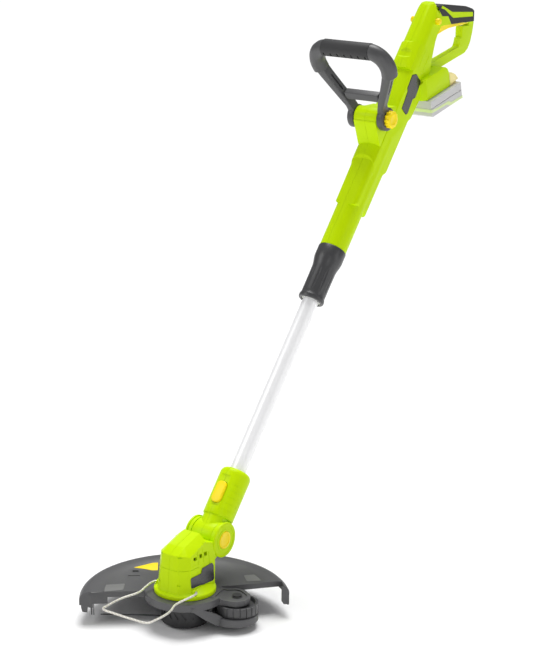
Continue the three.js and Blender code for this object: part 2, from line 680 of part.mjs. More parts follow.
function buildSocket() {
  const profile = [
    [0, SOCKET_LOW], [SOCKET_RADIUS, SOCKET_LOW], [SOCKET_RADIUS, 97], [21.5, 102], [17, 105.4],
    [TUBE_RADIUS + 1, SOCKET_HIGH], [0, SOCKET_HIGH],
  ];
  let socket = turned(profile, poleFrame, 40);
  socket = socket.add(kneeBar(TONGUE_RADIUS, -TONGUE_HALF, TONGUE_HALF));
  const flats = block([-TONGUE_HALF, -40, 2], [TONGUE_HALF, 40, 40], poleFrame);
  socket = socket.add(upright(NECK_RADIUS, 3, SOCKET_LOW + 4, poleFrame, 0, 0, 32).intersect(flats));
  const bore = upright(TUBE_RADIUS + CLEAR, TUBE_LOW - CLEAR, SOCKET_HIGH + 5, poleFrame, 0, 0, 32);
  socket = socket.subtract(bore);
  const grooveTop = SWIVEL_LOW + SWIVEL_THICK + CLEAR;
  const groove = upright(SWIVEL_RADIUS + CLEAR, SWIVEL_LOW - CLEAR, grooveTop, poleFrame);
  socket = socket.subtract(groove).subtract(ovalPost(CLEAR, 17.2, 40));
  socket = socket.subtract(kneeBar(PIN_RADIUS + CLEAR, -40, 40));
  addPiece('socket_half_left', leftSide(socket), LIME, 0.38);
  addPiece('socket_half_right', rightSide(socket), LIME, 0.38);
}

function buildRotateButton() {
  addPiece('rotate_button', ovalPost(0, 20.4, 25.2), YELLOW, 0.35);
  const leaf = ovalPost(-3, 17.5, 20.1);
  addPiece('rotate_button_spring', leaf, STEEL, 0.4, 1);
}

// ---- Motor head ----

// Keeps what lies behind a sloping face, given by a point on it and the way it looks.
function behind(solid, point, look) {
  const length = Math.hypot(...look);
  const offset = (point[0] * look[0] + point[1] * look[1] + point[2] * look[2]) / length;
  return solid.trimByPlane(look.map((value) => -value), -offset);
}

function behindBoth(solid, point, look) {
  const first = behind(solid, point, look);
  return behind(first, [-point[0], point[1], point[2]], [-look[0], look[1], look[2]]);
}

function earPlates() {
  const outline = [[10, 66], [10, 124], [24, 132], [40, 140]];
  for (let index = 0; index <= 10; index += 1) {
    const angle = 1.9 - (index * 3.3) / 10;
    outline.push([KNUCKLE_Y + EAR_RADIUS * Math.cos(angle), KNUCKLE_Z + EAR_RADIUS * Math.sin(angle)]);
  }
  const ears = slab(outline.reverse(), EAR_OUTER, 1.5);
  return ears.subtract(block([-EAR_INNER, -100, 0], [EAR_INNER, 200, 200]));
}

// A round bar on the wire guard's pivot.
function wireBar(radius, left, right) {
  return crossBar(radius, left, right, WIRE_PIVOT_Y, WIRE_PIVOT_Z, worldFrame, 12);
}

// The faceted housing: two front facets and a chamfer to each side, and a roof that falls forwards.
function motorBox() {
  let box = block([-60, -60, SHELL_LEVEL - 4], [60, 16, 150]);
  box = behind(box, [0, -40, SHELL_LEVEL], [0, -58, 4.5]);
  box = behind(box, [0, -19, 123.9], [0, -11.4, 34]);
  box = behind(box, [0, -35.5, 115], [0, -8.9, 16.5]);
  box = behindBoth(box, [6, -40, SHELL_LEVEL], [81.2, -725, 54.9]);
  box = behindBoth(box, [18.5, -38.6, SHELL_LEVEL], [788.8, -736.6, 98.4]);
  box = behindBoth(box, [14, -19, 123.9], [354.6, -142.5, 425]);
  box = behindBoth(box, [14, -19, 123.9], [135.5, -97.1, 185.4]);
  return behindBoth(box, [SHELL_SIDE, 0, SHELL_LEVEL], SHELL_LEAN);
}

function motorBack() {
  let back = block([-60, 10, SHELL_LEVEL - 4], [60, SHELL_BACK, 150]);
  back = behind(back, [0, 14, 124.5], [0, 5, 20]);
  back = behindBoth(back, [31, 31, SHELL_LEVEL], [7, 5, 0]);
  return behindBoth(back, [SHELL_SIDE, 0, SHELL_LEVEL], SHELL_LEAN);
}

function headBody() {
  let body = motorBox().add(motorBack()).add(earPlates());
  body = body.subtract(kneeBar(TONGUE_RADIUS + 1, -EAR_INNER, EAR_INNER));
  body = body.subtract(block([-EAR_INNER, KNUCKLE_Y - 12, 60], [EAR_INNER, 120, 170]));
  body = body.add(turned([
    [0, FLANGE_LOW], [FLANGE_RADIUS - 0.6, FLANGE_LOW], [FLANGE_RADIUS, FLANGE_LOW + 0.6],
    [FLANGE_RADIUS, 55.6],
    [FLANGE_RADIUS - 0.6, 56.4], [31, 63.8], [0, 63.8],
  ], worldFrame, 40));
  return body.add(wireBar(3.8, 28, 35.5)).add(wireBar(3.8, -35.5, -28));
}

function headHollow() {
  const plan = [
    [-14, -32], [14, -32], [24, -21], [24, 26], [20, 31], [-20, 31], [-24, 26], [-24, -21],
  ];
  let hollow = plate(plan, SHELL_LEVEL + 0.3, 113).subtract(kneeBar(TONGUE_RADIUS + 3.5, -40, 40));
  hollow = hollow.add(block([-16, -18, 100], [16, 17, 119.5]));
  hollow = hollow.add(upright(27, SHELL_LEVEL + 0.3, 61.5, worldFrame, 0, 0, 28));
  hollow = hollow.add(upright(9, 40, 60, worldFrame, 0, 0, 20));
  hollow = hollow.add(kneeBar(PIN_RADIUS + CLEAR, -40, 40));
  hollow = hollow.add(kneeBar(CAP_RADIUS + CLEAR, BUTTON_SEAT, 40));
  hollow = hollow.add(kneeBar(CAP_RADIUS + CLEAR, -40, -CAP_SEAT));
  hollow = hollow.add(wireBar(WIRE_RADIUS + CLEAR, -60, -29)).add(wireBar(WIRE_RADIUS + CLEAR, 29, 60));
  for (const [front, back, top] of [[-14.3, -7, 109.5], [-0.4, 5.7, 110.7], [10.9, 17, 110.7]]) {
    const vent = block([-40, front, 104.5], [40, back, top]);
    hollow = hollow.add(vent);
  }
  return hollow;
}

function buildMotorShells() {
  const shells = headBody().subtract(headHollow());
  addPiece('motor_shell_left', leftSide(shells), LIME, 0.38);
  addPiece('motor_shell_right', rightSide(shells), LIME, 0.38);
}

function buildKnuckleHardware() {
  addPiece('knuckle_pin', kneeBar(PIN_RADIUS, -CAP_SEAT + CLEAR, BUTTON_SEAT - CLEAR), STEEL, 0.3, 1);
  addPiece('tilt_button', kneeBar(CAP_RADIUS, EAR_OUTER + 1 - BUTTON_THICK, EAR_OUTER + 1), YELLOW, 0.35);
  addPiece('knuckle_cap', kneeBar(CAP_RADIUS, -EAR_OUTER - 0.6, -CAP_SEAT - CLEAR), YELLOW, 0.35);
}

function buildMotor() {
  const mount = ring(6, 26.5, 57.6, 61.1, worldFrame, 28);
  addPiece('motor_mount', mount, STEEL, 0.4, 1);
  const can = ring(SHAFT_RADIUS + CLEAR, MOTOR_RADIUS, MOTOR_LOW, MOTOR_HIGH, worldFrame, 28);
  addPiece('motor_can', can, STEEL, 0.35, 1);
  const shaft = upright(SHAFT_RADIUS, 31, MOTOR_HIGH + 4, worldFrame, 0, 0, 16);
  addPiece('motor_shaft', shaft, STEEL, 0.25, 1);
  const cap = ring(SHAFT_RADIUS + CLEAR, 15, MOTOR_HIGH + CLEAR, MOTOR_HIGH + 3);
  addPiece('motor_end_cap', cap, BLACK, 0.6);
}

function buildHeadPlate() {
  const outline = [
    [-24.5, 68], [-23, 66], [-2.2, 65.2], [1.7, 64.2], [9, 63.9], [26.5, 63], [29, 65.5],
    [29.4, 86.5], [26, 90.2],
    [3.2, 89], [-0.2, 82], [-23, 82], [-24.5, 80.5],
  ];
  const side = slab(outline, 60).intersect(block([10, -60, 0], [60, 60, 200]));
  const outer = behind(side, [SHELL_SIDE + 1.1, 0, SHELL_LEVEL], SHELL_LEAN);
  const inner = behind(side, [SHELL_SIDE + CLEAR, 0, SHELL_LEVEL], SHELL_LEAN);
  addPiece('head_plate', outer.subtract(inner), BLACK, 0.35);
}

// ---- Guard ----

// A wedge of the plan between two directions, measured from +Y towards +X in degrees.
function sector(from, to, radius, low, high) {
  const outline = [[0, 0]];
  const steps = Math.ceil((to - from) / 12);
  for (let index = 0; index <= steps; index += 1) {
    const angle = THREE.MathUtils.degToRad(from + ((to - from) * index) / steps);
    outline.push([radius * Math.sin(angle), radius * Math.cos(angle)]);
  }
  return plate(outline.reverse(), low, high);
}

function ribAt(direction, near, far, low, high, thick) {
  const turn = new THREE.Matrix4().makeRotationZ(-THREE.MathUtils.degToRad(direction));
  return block([-thick / 2, near, low], [thick / 2, far, high], turn);
}

function buildGuard() {
  const rim = RIM_RADIUS;
  const skin = turned([
    [30, 44], [COLLAR_RADIUS - WALL, 44], [COLLAR_RADIUS - WALL, COLLAR_LOW], [COLLAR_RADIUS, COLLAR_LOW],
    [COLLAR_RADIUS + 0.2, 46], [rim - 16, 46.2], [rim - 5, 41], [rim - 3, 37.5], [rim - 3, 28.5],
    [rim, 28.5],
    [rim, 38.5], [rim - 2.5, 43.5], [rim - 9, 48.2], [rim - 17, COLLAR_TOP], [COLLAR_RADIUS, COLLAR_TOP],
    [30, COLLAR_TOP], [30, 44],
  ], worldFrame, 44);
  const collar = upright(COLLAR_RADIUS, 0, 60, worldFrame, 0, 0, 44);
  const wing = skin.intersect(sector(GUARD_START, GUARD_END, 200, 0, 90));
  const corner = sector(GUARD_END - 2, RIM_END, 200, 0, 90).subtract(upright(rim - 8, 0, 90));
  let guard = skin.intersect(collar).add(wing).add(skin.intersect(corner));
  guard = guard.add(ribAt(GUARD_START + 0.8, COLLAR_RADIUS - 2, rim - 5, 40, 46, 3));
  guard = guard.add(ribAt(GUARD_END - 0.8, COLLAR_RADIUS - 2, rim - 5, 40.5, 46, 3));
  guard = guard.add(cutterSeat()).add(endFin()).add(wheelCarrier());
  guard = guard.subtract(upright(AXLE_RADIUS + CLEAR, 8, 60, worldFrame, WHEEL_X, WHEEL_Y, 16));
  addPiece('guard_shell', guard, GUARD_GREY, 0.55);
}

// The skirt by the line cutter hangs below the guard's left end.
function cutterSeat() {
  const turn = new THREE.Matrix4().makeRotationZ(-THREE.MathUtils.degToRad(GUARD_START));
  const front = block([0, CUTTER_RADIUS - 21, 30], [3, CUTTER_RADIUS + 3.3, 46], turn);
  const side = block([0, CUTTER_RADIUS + 0.3, 24], [17, CUTTER_RADIUS + 3.3, 46], turn);
  const place = turn.clone().multiply(new THREE.Matrix4().makeTranslation(0, RIM_RADIUS - 11, 0));
  place.multiply(new THREE.Matrix4().makeRotationX(Math.PI / 2));
  const fin = plate([[2, 46], [2, 29], [5, 20], [9, 15], [20, 23], [22, 46]], -2.6, 0, place);
  return front.add(side).add(fin);
}

// The rim ends in a fin that points down at the guard's right end.
function endFin() {
  const fin = ring(RIM_RADIUS - 3, RIM_RADIUS, 18, 38, worldFrame, 44);
  const first = sector(GUARD_END, RIM_END, 200, 24, 40);
  return fin.intersect(first.add(sector(GUARD_END + 2.5, RIM_END, 200, 18, 40)));
}

const tongueOutline = [
  [40, 10], [53, 17], [60, 16.5], [72, 16.8], [81, 20.5], [87, 29], [88, 38], [85.5, 47], [80, 54], [61, 62],
  [36, 70.5], [22, 58],
];
const tongueRecess = [
  [46, 18], [58, 21], [70, 21.3], [78, 24.5], [82.5, 31], [83.2, 38], [81, 45], [76.5, 50], [60, 57],
  [44, 60], [38, 46],
];

// The carrier holds the edge wheel between an upper tongue and a lower shoe.
function wheelCarrier() {
  const spool = upright(SPOOL_RADIUS + 2, 0, 43, worldFrame, 0, 0, 40);
  let upper = plate(tongueOutline, TONGUE_LOW, TONGUE_TOP + 1.6);
  upper = upper.subtract(plate(tongueRecess, TONGUE_TOP, TONGUE_TOP + 4));
  let shoe = upright(35.5, SHOE_LOW, SHOE_HIGH, worldFrame, 65.5, 33, 36);
  shoe = shoe.subtract(upright(32.3, SHOE_LOW - 1, SHOE_HIGH - 3.4, worldFrame, 65.5, 33, 36));
  shoe = shoe.add(upright(9, SHOE_LOW, SHOE_HIGH, worldFrame, WHEEL_X, WHEEL_Y, 20));
  const direction = THREE.MathUtils.radToDeg(Math.atan2(WHEEL_X, WHEEL_Y));
  const wall = ribAt(direction, 38, 43.5, SHOE_LOW, 44, 34);
  const room = WHEEL_RADIUS + 2 * CLEAR;
  const wheel = upright(room, WHEEL_LOW - CLEAR, WHEEL_HIGH + CLEAR, worldFrame, WHEEL_X, WHEEL_Y, 40);
  return upper.add(shoe).add(wall).add(strut()).subtract(spool).subtract(wheel);
}

// The strut comes down from the collar to the shoe.
function strut() {
  const place = new THREE.Matrix4().makeTranslation(45.4, -37.5, 0);
  place.multiply(new THREE.Matrix4().makeRotationZ(-THREE.MathUtils.degToRad(29.4)));
  const outline = [
    [-3, 44], [-3, 37.5], [0, 37], [20.7, 20.5], [34, 12], [40, SHOE_LOW], [52, SHOE_LOW], [52, 18.5],
    [48.8, 19.8], [36.5, 28.5], [14.7, 39], [12, 44],
  ];
  place.multiply(new THREE.Matrix4().makeTranslation(-3.2, 0, 0));
  return slab(outline, 3.2, 0, place);
}

function buildGuardScrews() {
  [-100, -20].forEach((direction, index) => {
    const turn = new THREE.Matrix4().makeRotationZ(-THREE.MathUtils.degToRad(direction));
    const head = upright(4, 41, 43.7, turn, 0, 42, 12);
    const screw = upright(2.2, 37.7, 43.7, turn, 0, 42, 10).add(head);
    addPiece(`guard_screw_${index + 1}`, screw, STEEL, 0.35, 1);
  });
}

function buildCutter() {
  const turn = new THREE.Matrix4().makeRotationZ(-THREE.MathUtils.degToRad(GUARD_START));
  const seat = turn.clone().multiply(new THREE.Matrix4().makeTranslation(0, CUTTER_RADIUS, 0));
  const place = seat.clone().multiply(new THREE.Matrix4().makeRotationX(Math.PI / 2));
  const blade = plate([[3.3, 36], [3.3, 14], [4.5, 11], [15, 20], [15, 36]], 0, 1.3, place);
  addPiece('line_cutter', blade, STEEL, 0.25, 1);
  const head = place.multiply(new THREE.Matrix4().makeTranslation(9, 31, 1.3 + CLEAR));
  addPiece('cutter_screw', turned([[0, 0], [3, 0], [3, 2], [0, 2]], head, 12), STEEL, 0.3, 1);
}

function buildEdgeWheel() {
  const rim = turned([
    [AXLE_RADIUS + CLEAR, WHEEL_LOW + 2], [22, WHEEL_LOW + 2], [24, WHEEL_LOW], [30, WHEEL_LOW],
    [WHEEL_RADIUS, WHEEL_LOW + 1.5],
    [WHEEL_RADIUS, WHEEL_HIGH - 1.5], [30, WHEEL_HIGH], [27, WHEEL_HIGH],
    [25, WHEEL_HIGH - 5], [12, WHEEL_HIGH - 5],
    [10, WHEEL_HIGH + 0.4], [AXLE_RADIUS + CLEAR, WHEEL_HIGH + 0.4], [AXLE_RADIUS + CLEAR, WHEEL_LOW + 2],
  ], new THREE.Matrix4().makeTranslation(WHEEL_X, WHEEL_Y, 0), 28);
  addPiece('edge_wheel', rim, WHEEL_GREY, 0.6);
  let bolt = upright(AXLE_RADIUS, SHOE_LOW + 0.4, TONGUE_TOP + 2, worldFrame, WHEEL_X, WHEEL_Y, 16);
  bolt = bolt.add(upright(7, TONGUE_TOP + CLEAR, TONGUE_TOP + 5, worldFrame, WHEEL_X, WHEEL_Y, 20));
  addPiece('wheel_bolt', bolt, BLACK, 0.45);
}

function buildWireGuard() {
  const side = [
    [31, WIRE_PIVOT_Y, WIRE_PIVOT_Z], [36.5, WIRE_PIVOT_Y - 0.2, WIRE_PIVOT_Z],
    [38.8, WIRE_PIVOT_Y - 4, WIRE_PIVOT_Z],
    [37.5, -45, 59], [35, -60, 57.5], [36, -70, 57], [41, -84, 56], [43.5, -98, 55.5], [43, -125, 55],
    [41.5, -136, 55], [38.5, -139.5, 55], [20, -139.5, 55],
  ];
  const path = mirrored(side);
  addPiece('wire_guard', bentRod(path, WIRE_RADIUS, 3, 52, worldFrame, 0.3), WIRE_GREY, 0.35, 0.9);
}

// ---- Spool ----

function buildSpoolCup(outlet) {
  const inside = SPOOL_RADIUS - WALL;
  let cup = turned([
    [SHAFT_RADIUS + CLEAR, 32], [inside, 32], [inside, 3.4], [SPOOL_RADIUS - 0.6, 3.4], [SPOOL_RADIUS, 10],
    [SPOOL_RADIUS, SPOOL_TOP - 2], [SPOOL_RADIUS - 2, SPOOL_TOP], [SHAFT_RADIUS + CLEAR, SPOOL_TOP],
    [SHAFT_RADIUS + CLEAR, 32],
  ], worldFrame, 32);
  cup = cup.subtract(block([-4.4, 25, 0], [4.4, 60, LINE_HEIGHT + 4.3], outlet));
  addPiece('spool_cup', cup, BLACK, 0.5);
  const lid = turned([
    [KNOB_HOLE, 0.4], [25, 0.4], [31, 1.4], [34, 3.1], [KNOB_HOLE, 3.1], [KNOB_HOLE, 0.4],
  ], worldFrame, 32);
  addPiece('spool_lid', lid, BLACK, 0.5);
}

function buildReel() {
  const reel = turned([
    [REEL_BORE, 4], [29, 4], [29, 5.6], [16.4, 5.6], [16.4, 24], [29, 24], [29, 25.6], [REEL_BORE, 25.6],
    [REEL_BORE, 4],
  ], worldFrame, 28);
  addPiece('line_reel', reel, CHARCOAL, 0.6);
  addPiece('line_winding', ring(16.7, 25, 5.9, 23.7, worldFrame, 24), BLACK, 0.5);
  const knob = turned([[0, 0], [10.5, 0], [12.6, 1.6], [12.6, 7.4], [0, 7.4]], worldFrame, 24);
  addPiece('bump_knob', knob, BLACK, 0.6);
  addPiece('reel_spring', coil(6.4, 0.7, 8.4, 27.4, 4, worldFrame), STEEL, 0.3, 1);
}

function buildLine(outlet) {
  const seat = new THREE.Matrix4().makeTranslation(0, SPOOL_RADIUS - 1.5, LINE_HEIGHT);
  const place = outlet.clone().multiply(seat).multiply(new THREE.Matrix4().makeRotationX(-Math.PI / 2));
  addPiece('line_eyelet', ring(LINE_RADIUS + 0.5, 4, -2.4, 2, place, 14), STEEL, 0.25, 1);
  const line = bentRod([
    [0, 32, LINE_HEIGHT], [0, 60, LINE_HEIGHT], [-1, 92, LINE_HEIGHT + 0.4], [-3, 124, LINE_HEIGHT + 1],
  ], LINE_RADIUS, 4, 14, outlet);
  addPiece('cutting_line', line, BLACK, 0.45);
}

const body = handleBody();
const hollow = handleHollow();
buildHandleHalves(body, hollow);
buildGripSkin(body.subtract(hollow));
buildTrigger();
buildSwitch();
buildLockOff();
buildNamePlate();
buildTerminalBlock();
buildPack();
buildPackLatch();
buildFrontHandle();
buildPivotHardware();
buildLockSleeve();
buildCollet();
buildTube();
buildSocket();
buildRotateButton();
buildMotorShells();
buildKnuckleHardware();
buildMotor();
buildHeadPlate();
buildGuard();
buildGuardScrews();
buildCutter();
buildEdgeWheel();
buildWireGuard();
const outlet = new THREE.Matrix4().makeRotationZ(-THREE.MathUtils.degToRad(LINE_DIRECTION));
buildSpoolCup(outlet);
buildReel();
buildLine(outlet);

export default trimmer;
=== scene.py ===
from math import cos, pi, radians, sin

import bmesh
import bpy
from mathutils import Matrix, Vector


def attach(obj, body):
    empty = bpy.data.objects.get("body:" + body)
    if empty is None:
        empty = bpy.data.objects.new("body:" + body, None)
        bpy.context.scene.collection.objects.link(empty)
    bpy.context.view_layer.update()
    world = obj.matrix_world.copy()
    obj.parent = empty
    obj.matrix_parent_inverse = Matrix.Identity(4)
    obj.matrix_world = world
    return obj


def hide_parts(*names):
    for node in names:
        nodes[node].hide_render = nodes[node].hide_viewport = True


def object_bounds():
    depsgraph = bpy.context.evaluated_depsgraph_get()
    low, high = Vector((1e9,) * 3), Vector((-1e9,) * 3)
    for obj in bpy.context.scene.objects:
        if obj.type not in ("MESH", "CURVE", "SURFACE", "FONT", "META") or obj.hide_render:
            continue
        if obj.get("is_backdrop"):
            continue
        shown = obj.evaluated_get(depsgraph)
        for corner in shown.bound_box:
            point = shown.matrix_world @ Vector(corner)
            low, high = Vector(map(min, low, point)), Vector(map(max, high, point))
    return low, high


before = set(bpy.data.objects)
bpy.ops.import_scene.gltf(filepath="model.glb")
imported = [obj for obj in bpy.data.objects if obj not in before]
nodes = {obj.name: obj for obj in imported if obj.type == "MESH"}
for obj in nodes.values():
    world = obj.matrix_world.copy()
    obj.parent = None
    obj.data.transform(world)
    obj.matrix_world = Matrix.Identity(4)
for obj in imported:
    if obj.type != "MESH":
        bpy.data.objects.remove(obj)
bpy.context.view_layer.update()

# ---- The studio ----
# A white table and a white surround, with a broad soft light on the left, a tall narrow one beside
# the camera that draws a bright line down each round part, and a weak fill from the right. A wide
# overhead light gives the soft shadow on the table.

scene = bpy.context.scene
scene.view_settings.view_transform = "Standard"

camera_data = bpy.data.cameras.new("camera")
camera_data.sensor_width = 36
camera_data.lens = 110.70
camera_data.clip_end = 30
camera = bpy.data.objects.new("camera", camera_data)
scene.collection.objects.link(camera)
turn, lift, roll = radians(35.7346), radians(15.3881), radians(0.7008)
forward = Vector((-sin(turn) * cos(lift), cos(turn) * cos(lift), -sin(lift)))
level = Vector((cos(turn), sin(turn), 0))
upward = level.cross(forward)
across = cos(roll) * level + sin(roll) * upward
upward = across.cross(forward)
pose = Matrix((across, upward, -forward)).transposed().to_4x4()
camera.matrix_world = Matrix.Translation((1.69387, -2.14950, 1.20173)) @ pose
scene.camera = camera


def soft_light(name, place, aim, width, height, power):
    data = bpy.data.lights.new(name, "AREA")
    data.shape = "RECTANGLE"
    data.size = width
    data.size_y = height
    data.energy = power
    lamp = bpy.data.objects.new(name, data)
    scene.collection.objects.link(lamp)
    look = (Vector(aim) - Vector(place)).to_track_quat("-Z", "Y")
    lamp.matrix_world = Matrix.Translation(place) @ look.to_matrix().to_4x4()


soft_light("left_softbox", (-1.7, -1.9, 2.3), (0, 0.2, 0.35), 1.5, 1.5, 27)
soft_light("strip_light", (1.9, -1.55, 1.1), (0, 0.25, 0.4), 0.16, 1.9, 8)
soft_light("right_fill", (2.4, 0.9, 1.2), (0, 0.3, 0.4), 1.2, 1.6, 8)

sky_data = bpy.data.lights.new("overhead", "SUN")
sky_data.energy = 2.9
sky_data.angle = radians(38)
sky = bpy.data.objects.new("overhead", sky_data)
scene.collection.objects.link(sky)
sky.matrix_world = Matrix.Rotation(radians(-17), 4, "X") @ Matrix.Rotation(radians(-8), 4, "Y")

world = bpy.data.worlds.new("surround")
world.use_nodes = True
scene.world = world
surround = world.node_tree
seen = surround.nodes.new("ShaderNodeLightPath")
backdrop = surround.nodes["Background"]
backdrop.inputs["Color"].default_value = (0.23, 0.23, 0.235, 1)
white = surround.nodes.new("ShaderNodeBackground")
either = surround.nodes.new("ShaderNodeMixShader")
surround.links.new(seen.outputs["Is Camera Ray"], either.inputs["Fac"])
surround.links.new(backdrop.outputs["Background"], either.inputs[1])
surround.links.new(white.outputs["Background"], either.inputs[2])
surround.links.new(either.outputs["Shader"], surround.nodes["World Output"].inputs["Surface"])
white.inputs["Color"].default_value = (1, 1, 1, 1)


def add_node(tree, kind, **values):
    node = tree.nodes.new(kind)
    for name, value in values.items():
        if hasattr(node, name):
            setattr(node, name, value)
        else:
            node.inputs[name.replace("_", " ")].default_value = value
    return node


def blank_material(name):
    material = bpy.data.materials.new(name)
    material.use_nodes = True
    tree = material.node_tree
    return material, tree, tree.nodes["Principled BSDF"]


table_material, tree, shader = blank_material("table_white")
table_coords = add_node(tree, "ShaderNodeTexCoord")
table_noise = add_node(tree, "ShaderNodeTexNoise", Scale=3.0, Detail=2.0)
table_tone = add_node(tree, "ShaderNodeMix", data_type="RGBA")
table_tone.inputs["A"].default_value = (0.955, 0.955, 0.955, 1)
table_tone.inputs["B"].default_value = (0.97, 0.97, 0.97, 1)
tree.links.new(table_coords.outputs["Object"], table_noise.inputs["Vector"])
tree.links.new(table_noise.outputs["Fac"], table_tone.inputs["Factor"])
tree.links.new(table_tone.outputs["Result"], shader.inputs["Base Color"])
shader.inputs["Roughness"].default_value = 0.9

table_mesh = bmesh.new()
bmesh.ops.create_grid(table_mesh, x_segments=1, y_segments=1, size=12)
bmesh.ops.translate(table_mesh, verts=table_mesh.verts, vec=(0, 0, -0.0008))
table_data = bpy.data.meshes.new("table")
table_mesh.to_mesh(table_data)
table_mesh.free()
table_data.materials.append(table_material)
table = bpy.data.objects.new("table", table_data)
scene.collection.objects.link(table)
table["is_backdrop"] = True


# ---- The pole ----
# A drawn aluminium tube with a satin surface. It slides in the handle's barrel and ends in the
# socket, where a pressed-on ring holds it but lets it turn. Sizes here and below are millimetres.

KNUCKLE = (59, 115)  # the (y, z) of the tilt pin, from which the pole leans back
UPRIGHT = Matrix.Identity(4)
POLE = Matrix.Translation((0, *KNUCKLE)) @ Matrix.Rotation(-radians(39.3), 4, "X")


def turned(profile, steps=72):
    """A profile of (radius, height) points turned about Z."""
    shape = bmesh.new()
    chain = [shape.verts.new((radius, 0, height)) for radius, height in profile]
    edges = [shape.edges.new(pair) for pair in zip(chain, chain[1:])]
    bmesh.ops.spin(
        shape, geom=chain + edges, cent=(0, 0, 0), axis=(0, 0, 1), angle=2 * pi, steps=steps, use_merge=True
    )
    bmesh.ops.remove_doubles(shape, verts=shape.verts, dist=0.001)
    bmesh.ops.recalc_face_normals(shape, faces=shape.faces)
    return shape


def finished(name, shape, place, material, body, slot, *replaced, crease=32):
    """Makes a shape in millimetres a piece in metres, parents it to its body and hides the imported nodes it
    replaces.
    """
    bmesh.ops.transform(shape, matrix=Matrix.Scale(0.001, 4) @ place, verts=shape.verts)
    bmesh.ops.recalc_face_normals(shape, faces=shape.faces)
    data = bpy.data.meshes.new(name)
    shape.to_mesh(data)
    shape.free()
    data.materials.append(material)
    data.shade_smooth()
    data.set_sharp_from_angle(angle=radians(crease))
    piece = bpy.data.objects.new(name, data)
    scene.collection.objects.link(piece)
    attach(piece, body)
    if replaced:
        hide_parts(*replaced)
    return piece


def new_group(name, inputs, outputs):
    group = bpy.data.node_groups.new(name, "ShaderNodeTree")
    for label, kind, value in inputs:
        socket = group.interface.new_socket(label, in_out="INPUT", socket_type=kind)
        socket.default_value = value
    for label, kind in outputs:
        group.interface.new_socket(label, in_out="OUTPUT", socket_type=kind)
    return group, group.nodes.new("NodeGroupInput"), group.nodes.new("NodeGroupOutput")


# The fine grain of a moulded or rolled surface, with a slow drift of tone and shine over it.
grain_group, given, result = new_group(
    "surface_grain",
    [
        ("Colour", "NodeSocketColor", (0.5, 0.5, 0.5, 1)),
        ("Tone Change", "NodeSocketFloat", 0.06),
        ("Roughness", "NodeSocketFloat", 0.4),
        ("Roughness Change", "NodeSocketFloat", 0.06),
        ("Grain Scale", "NodeSocketFloat", 1500.0),
        ("Stretch", "NodeSocketVector", (1, 1, 1)),
    ],
    [("Colour", "NodeSocketColor"), ("Roughness", "NodeSocketFloat"), ("Height", "NodeSocketFloat")],
)
coords = add_node(grain_group, "ShaderNodeTexCoord")
stretch = add_node(grain_group, "ShaderNodeMapping", vector_type="POINT")
fine = add_node(grain_group, "ShaderNodeTexNoise", Detail=3.0, Roughness=0.6)
broad = add_node(grain_group, "ShaderNodeTexNoise", Scale=22.0, Detail=2.0)
centre = add_node(grain_group, "ShaderNodeMath", operation="SUBTRACT")
centre.inputs[1].default_value = 0.5
drift = add_node(grain_group, "ShaderNodeMath", operation="MULTIPLY_ADD")
drift.inputs[2].default_value = 1.0
tone = add_node(grain_group, "ShaderNodeVectorMath", operation="SCALE")
shine = add_node(grain_group, "ShaderNodeMath", operation="MULTIPLY_ADD")
link = grain_group.links.new
link(coords.outputs["Object"], stretch.inputs["Vector"])
link(given.outputs["Stretch"], stretch.inputs["Scale"])
link(stretch.outputs["Vector"], fine.inputs["Vector"])
link(given.outputs["Grain Scale"], fine.inputs["Scale"])
link(coords.outputs["Object"], broad.inputs["Vector"])
link(broad.outputs["Fac"], centre.inputs[0])
link(centre.outputs["Value"], drift.inputs[0])
link(given.outputs["Tone Change"], drift.inputs[1])
link(given.outputs["Colour"], tone.inputs[0])
link(drift.outputs["Value"], tone.inputs["Scale"])
link(centre.outputs["Value"], shine.inputs[0])
link(given.outputs["Roughness Change"], shine.inputs[1])
link(given.outputs["Roughness"], shine.inputs[2])
link(tone.outputs["Vector"], result.inputs["Colour"])
link(shine.outputs["Value"], result.inputs["Roughness"])
link(fine.outputs["Fac"], result.inputs["Height"])


def grained(name, colour, roughness, metallic=0.0, relief=0.25, scale=1500.0, tone=0.06, change=0.06,
            stretch=(1, 1, 1), coat=0.0, specular=0.5):
    """A material with its own grain; relief is how strongly the grain stands out."""
    material, tree, shader = blank_material(name)
    skin = add_node(tree, "ShaderNodeGroup", node_tree=grain_group)
    skin.inputs["Colour"].default_value = (*colour, 1)
    skin.inputs["Tone Change"].default_value = tone
    skin.inputs["Roughness"].default_value = roughness
    skin.inputs["Roughness Change"].default_value = change
    skin.inputs["Grain Scale"].default_value = scale
    skin.inputs["Stretch"].default_value = stretch
    relief_node = add_node(tree, "ShaderNodeBump", Strength=relief, Distance=0.0002)
    tree.links.new(skin.outputs["Colour"], shader.inputs["Base Color"])
    tree.links.new(skin.outputs["Roughness"], shader.inputs["Roughness"])
    tree.links.new(skin.outputs["Height"], relief_node.inputs["Height"])
    tree.links.new(relief_node.outputs["Normal"], shader.inputs["Normal"])
    shader.inputs["Metallic"].default_value = metallic
    shader.inputs["Specular IOR Level"].default_value = specular
    shader.inputs["Coat Weight"].default_value = coat
    shader.inputs["Coat Roughness"].default_value = 0.15
    return material


def dress(material, *names):
    """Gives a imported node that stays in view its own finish."""
    for name in names:
        for holder in nodes[name].material_slots:
            holder.material = material


aluminium = grained(
    "drawn_aluminium", (0.99, 0.99, 0.995), 0.36, metallic=0.2, relief=0.12, scale=900.0, tone=0.03,
    stretch=(1, 1, 0.05),
)
black_plastic = grained("black_plastic", (0.022, 0.022, 0.023), 0.42, relief=0.18, scale=1800.0)

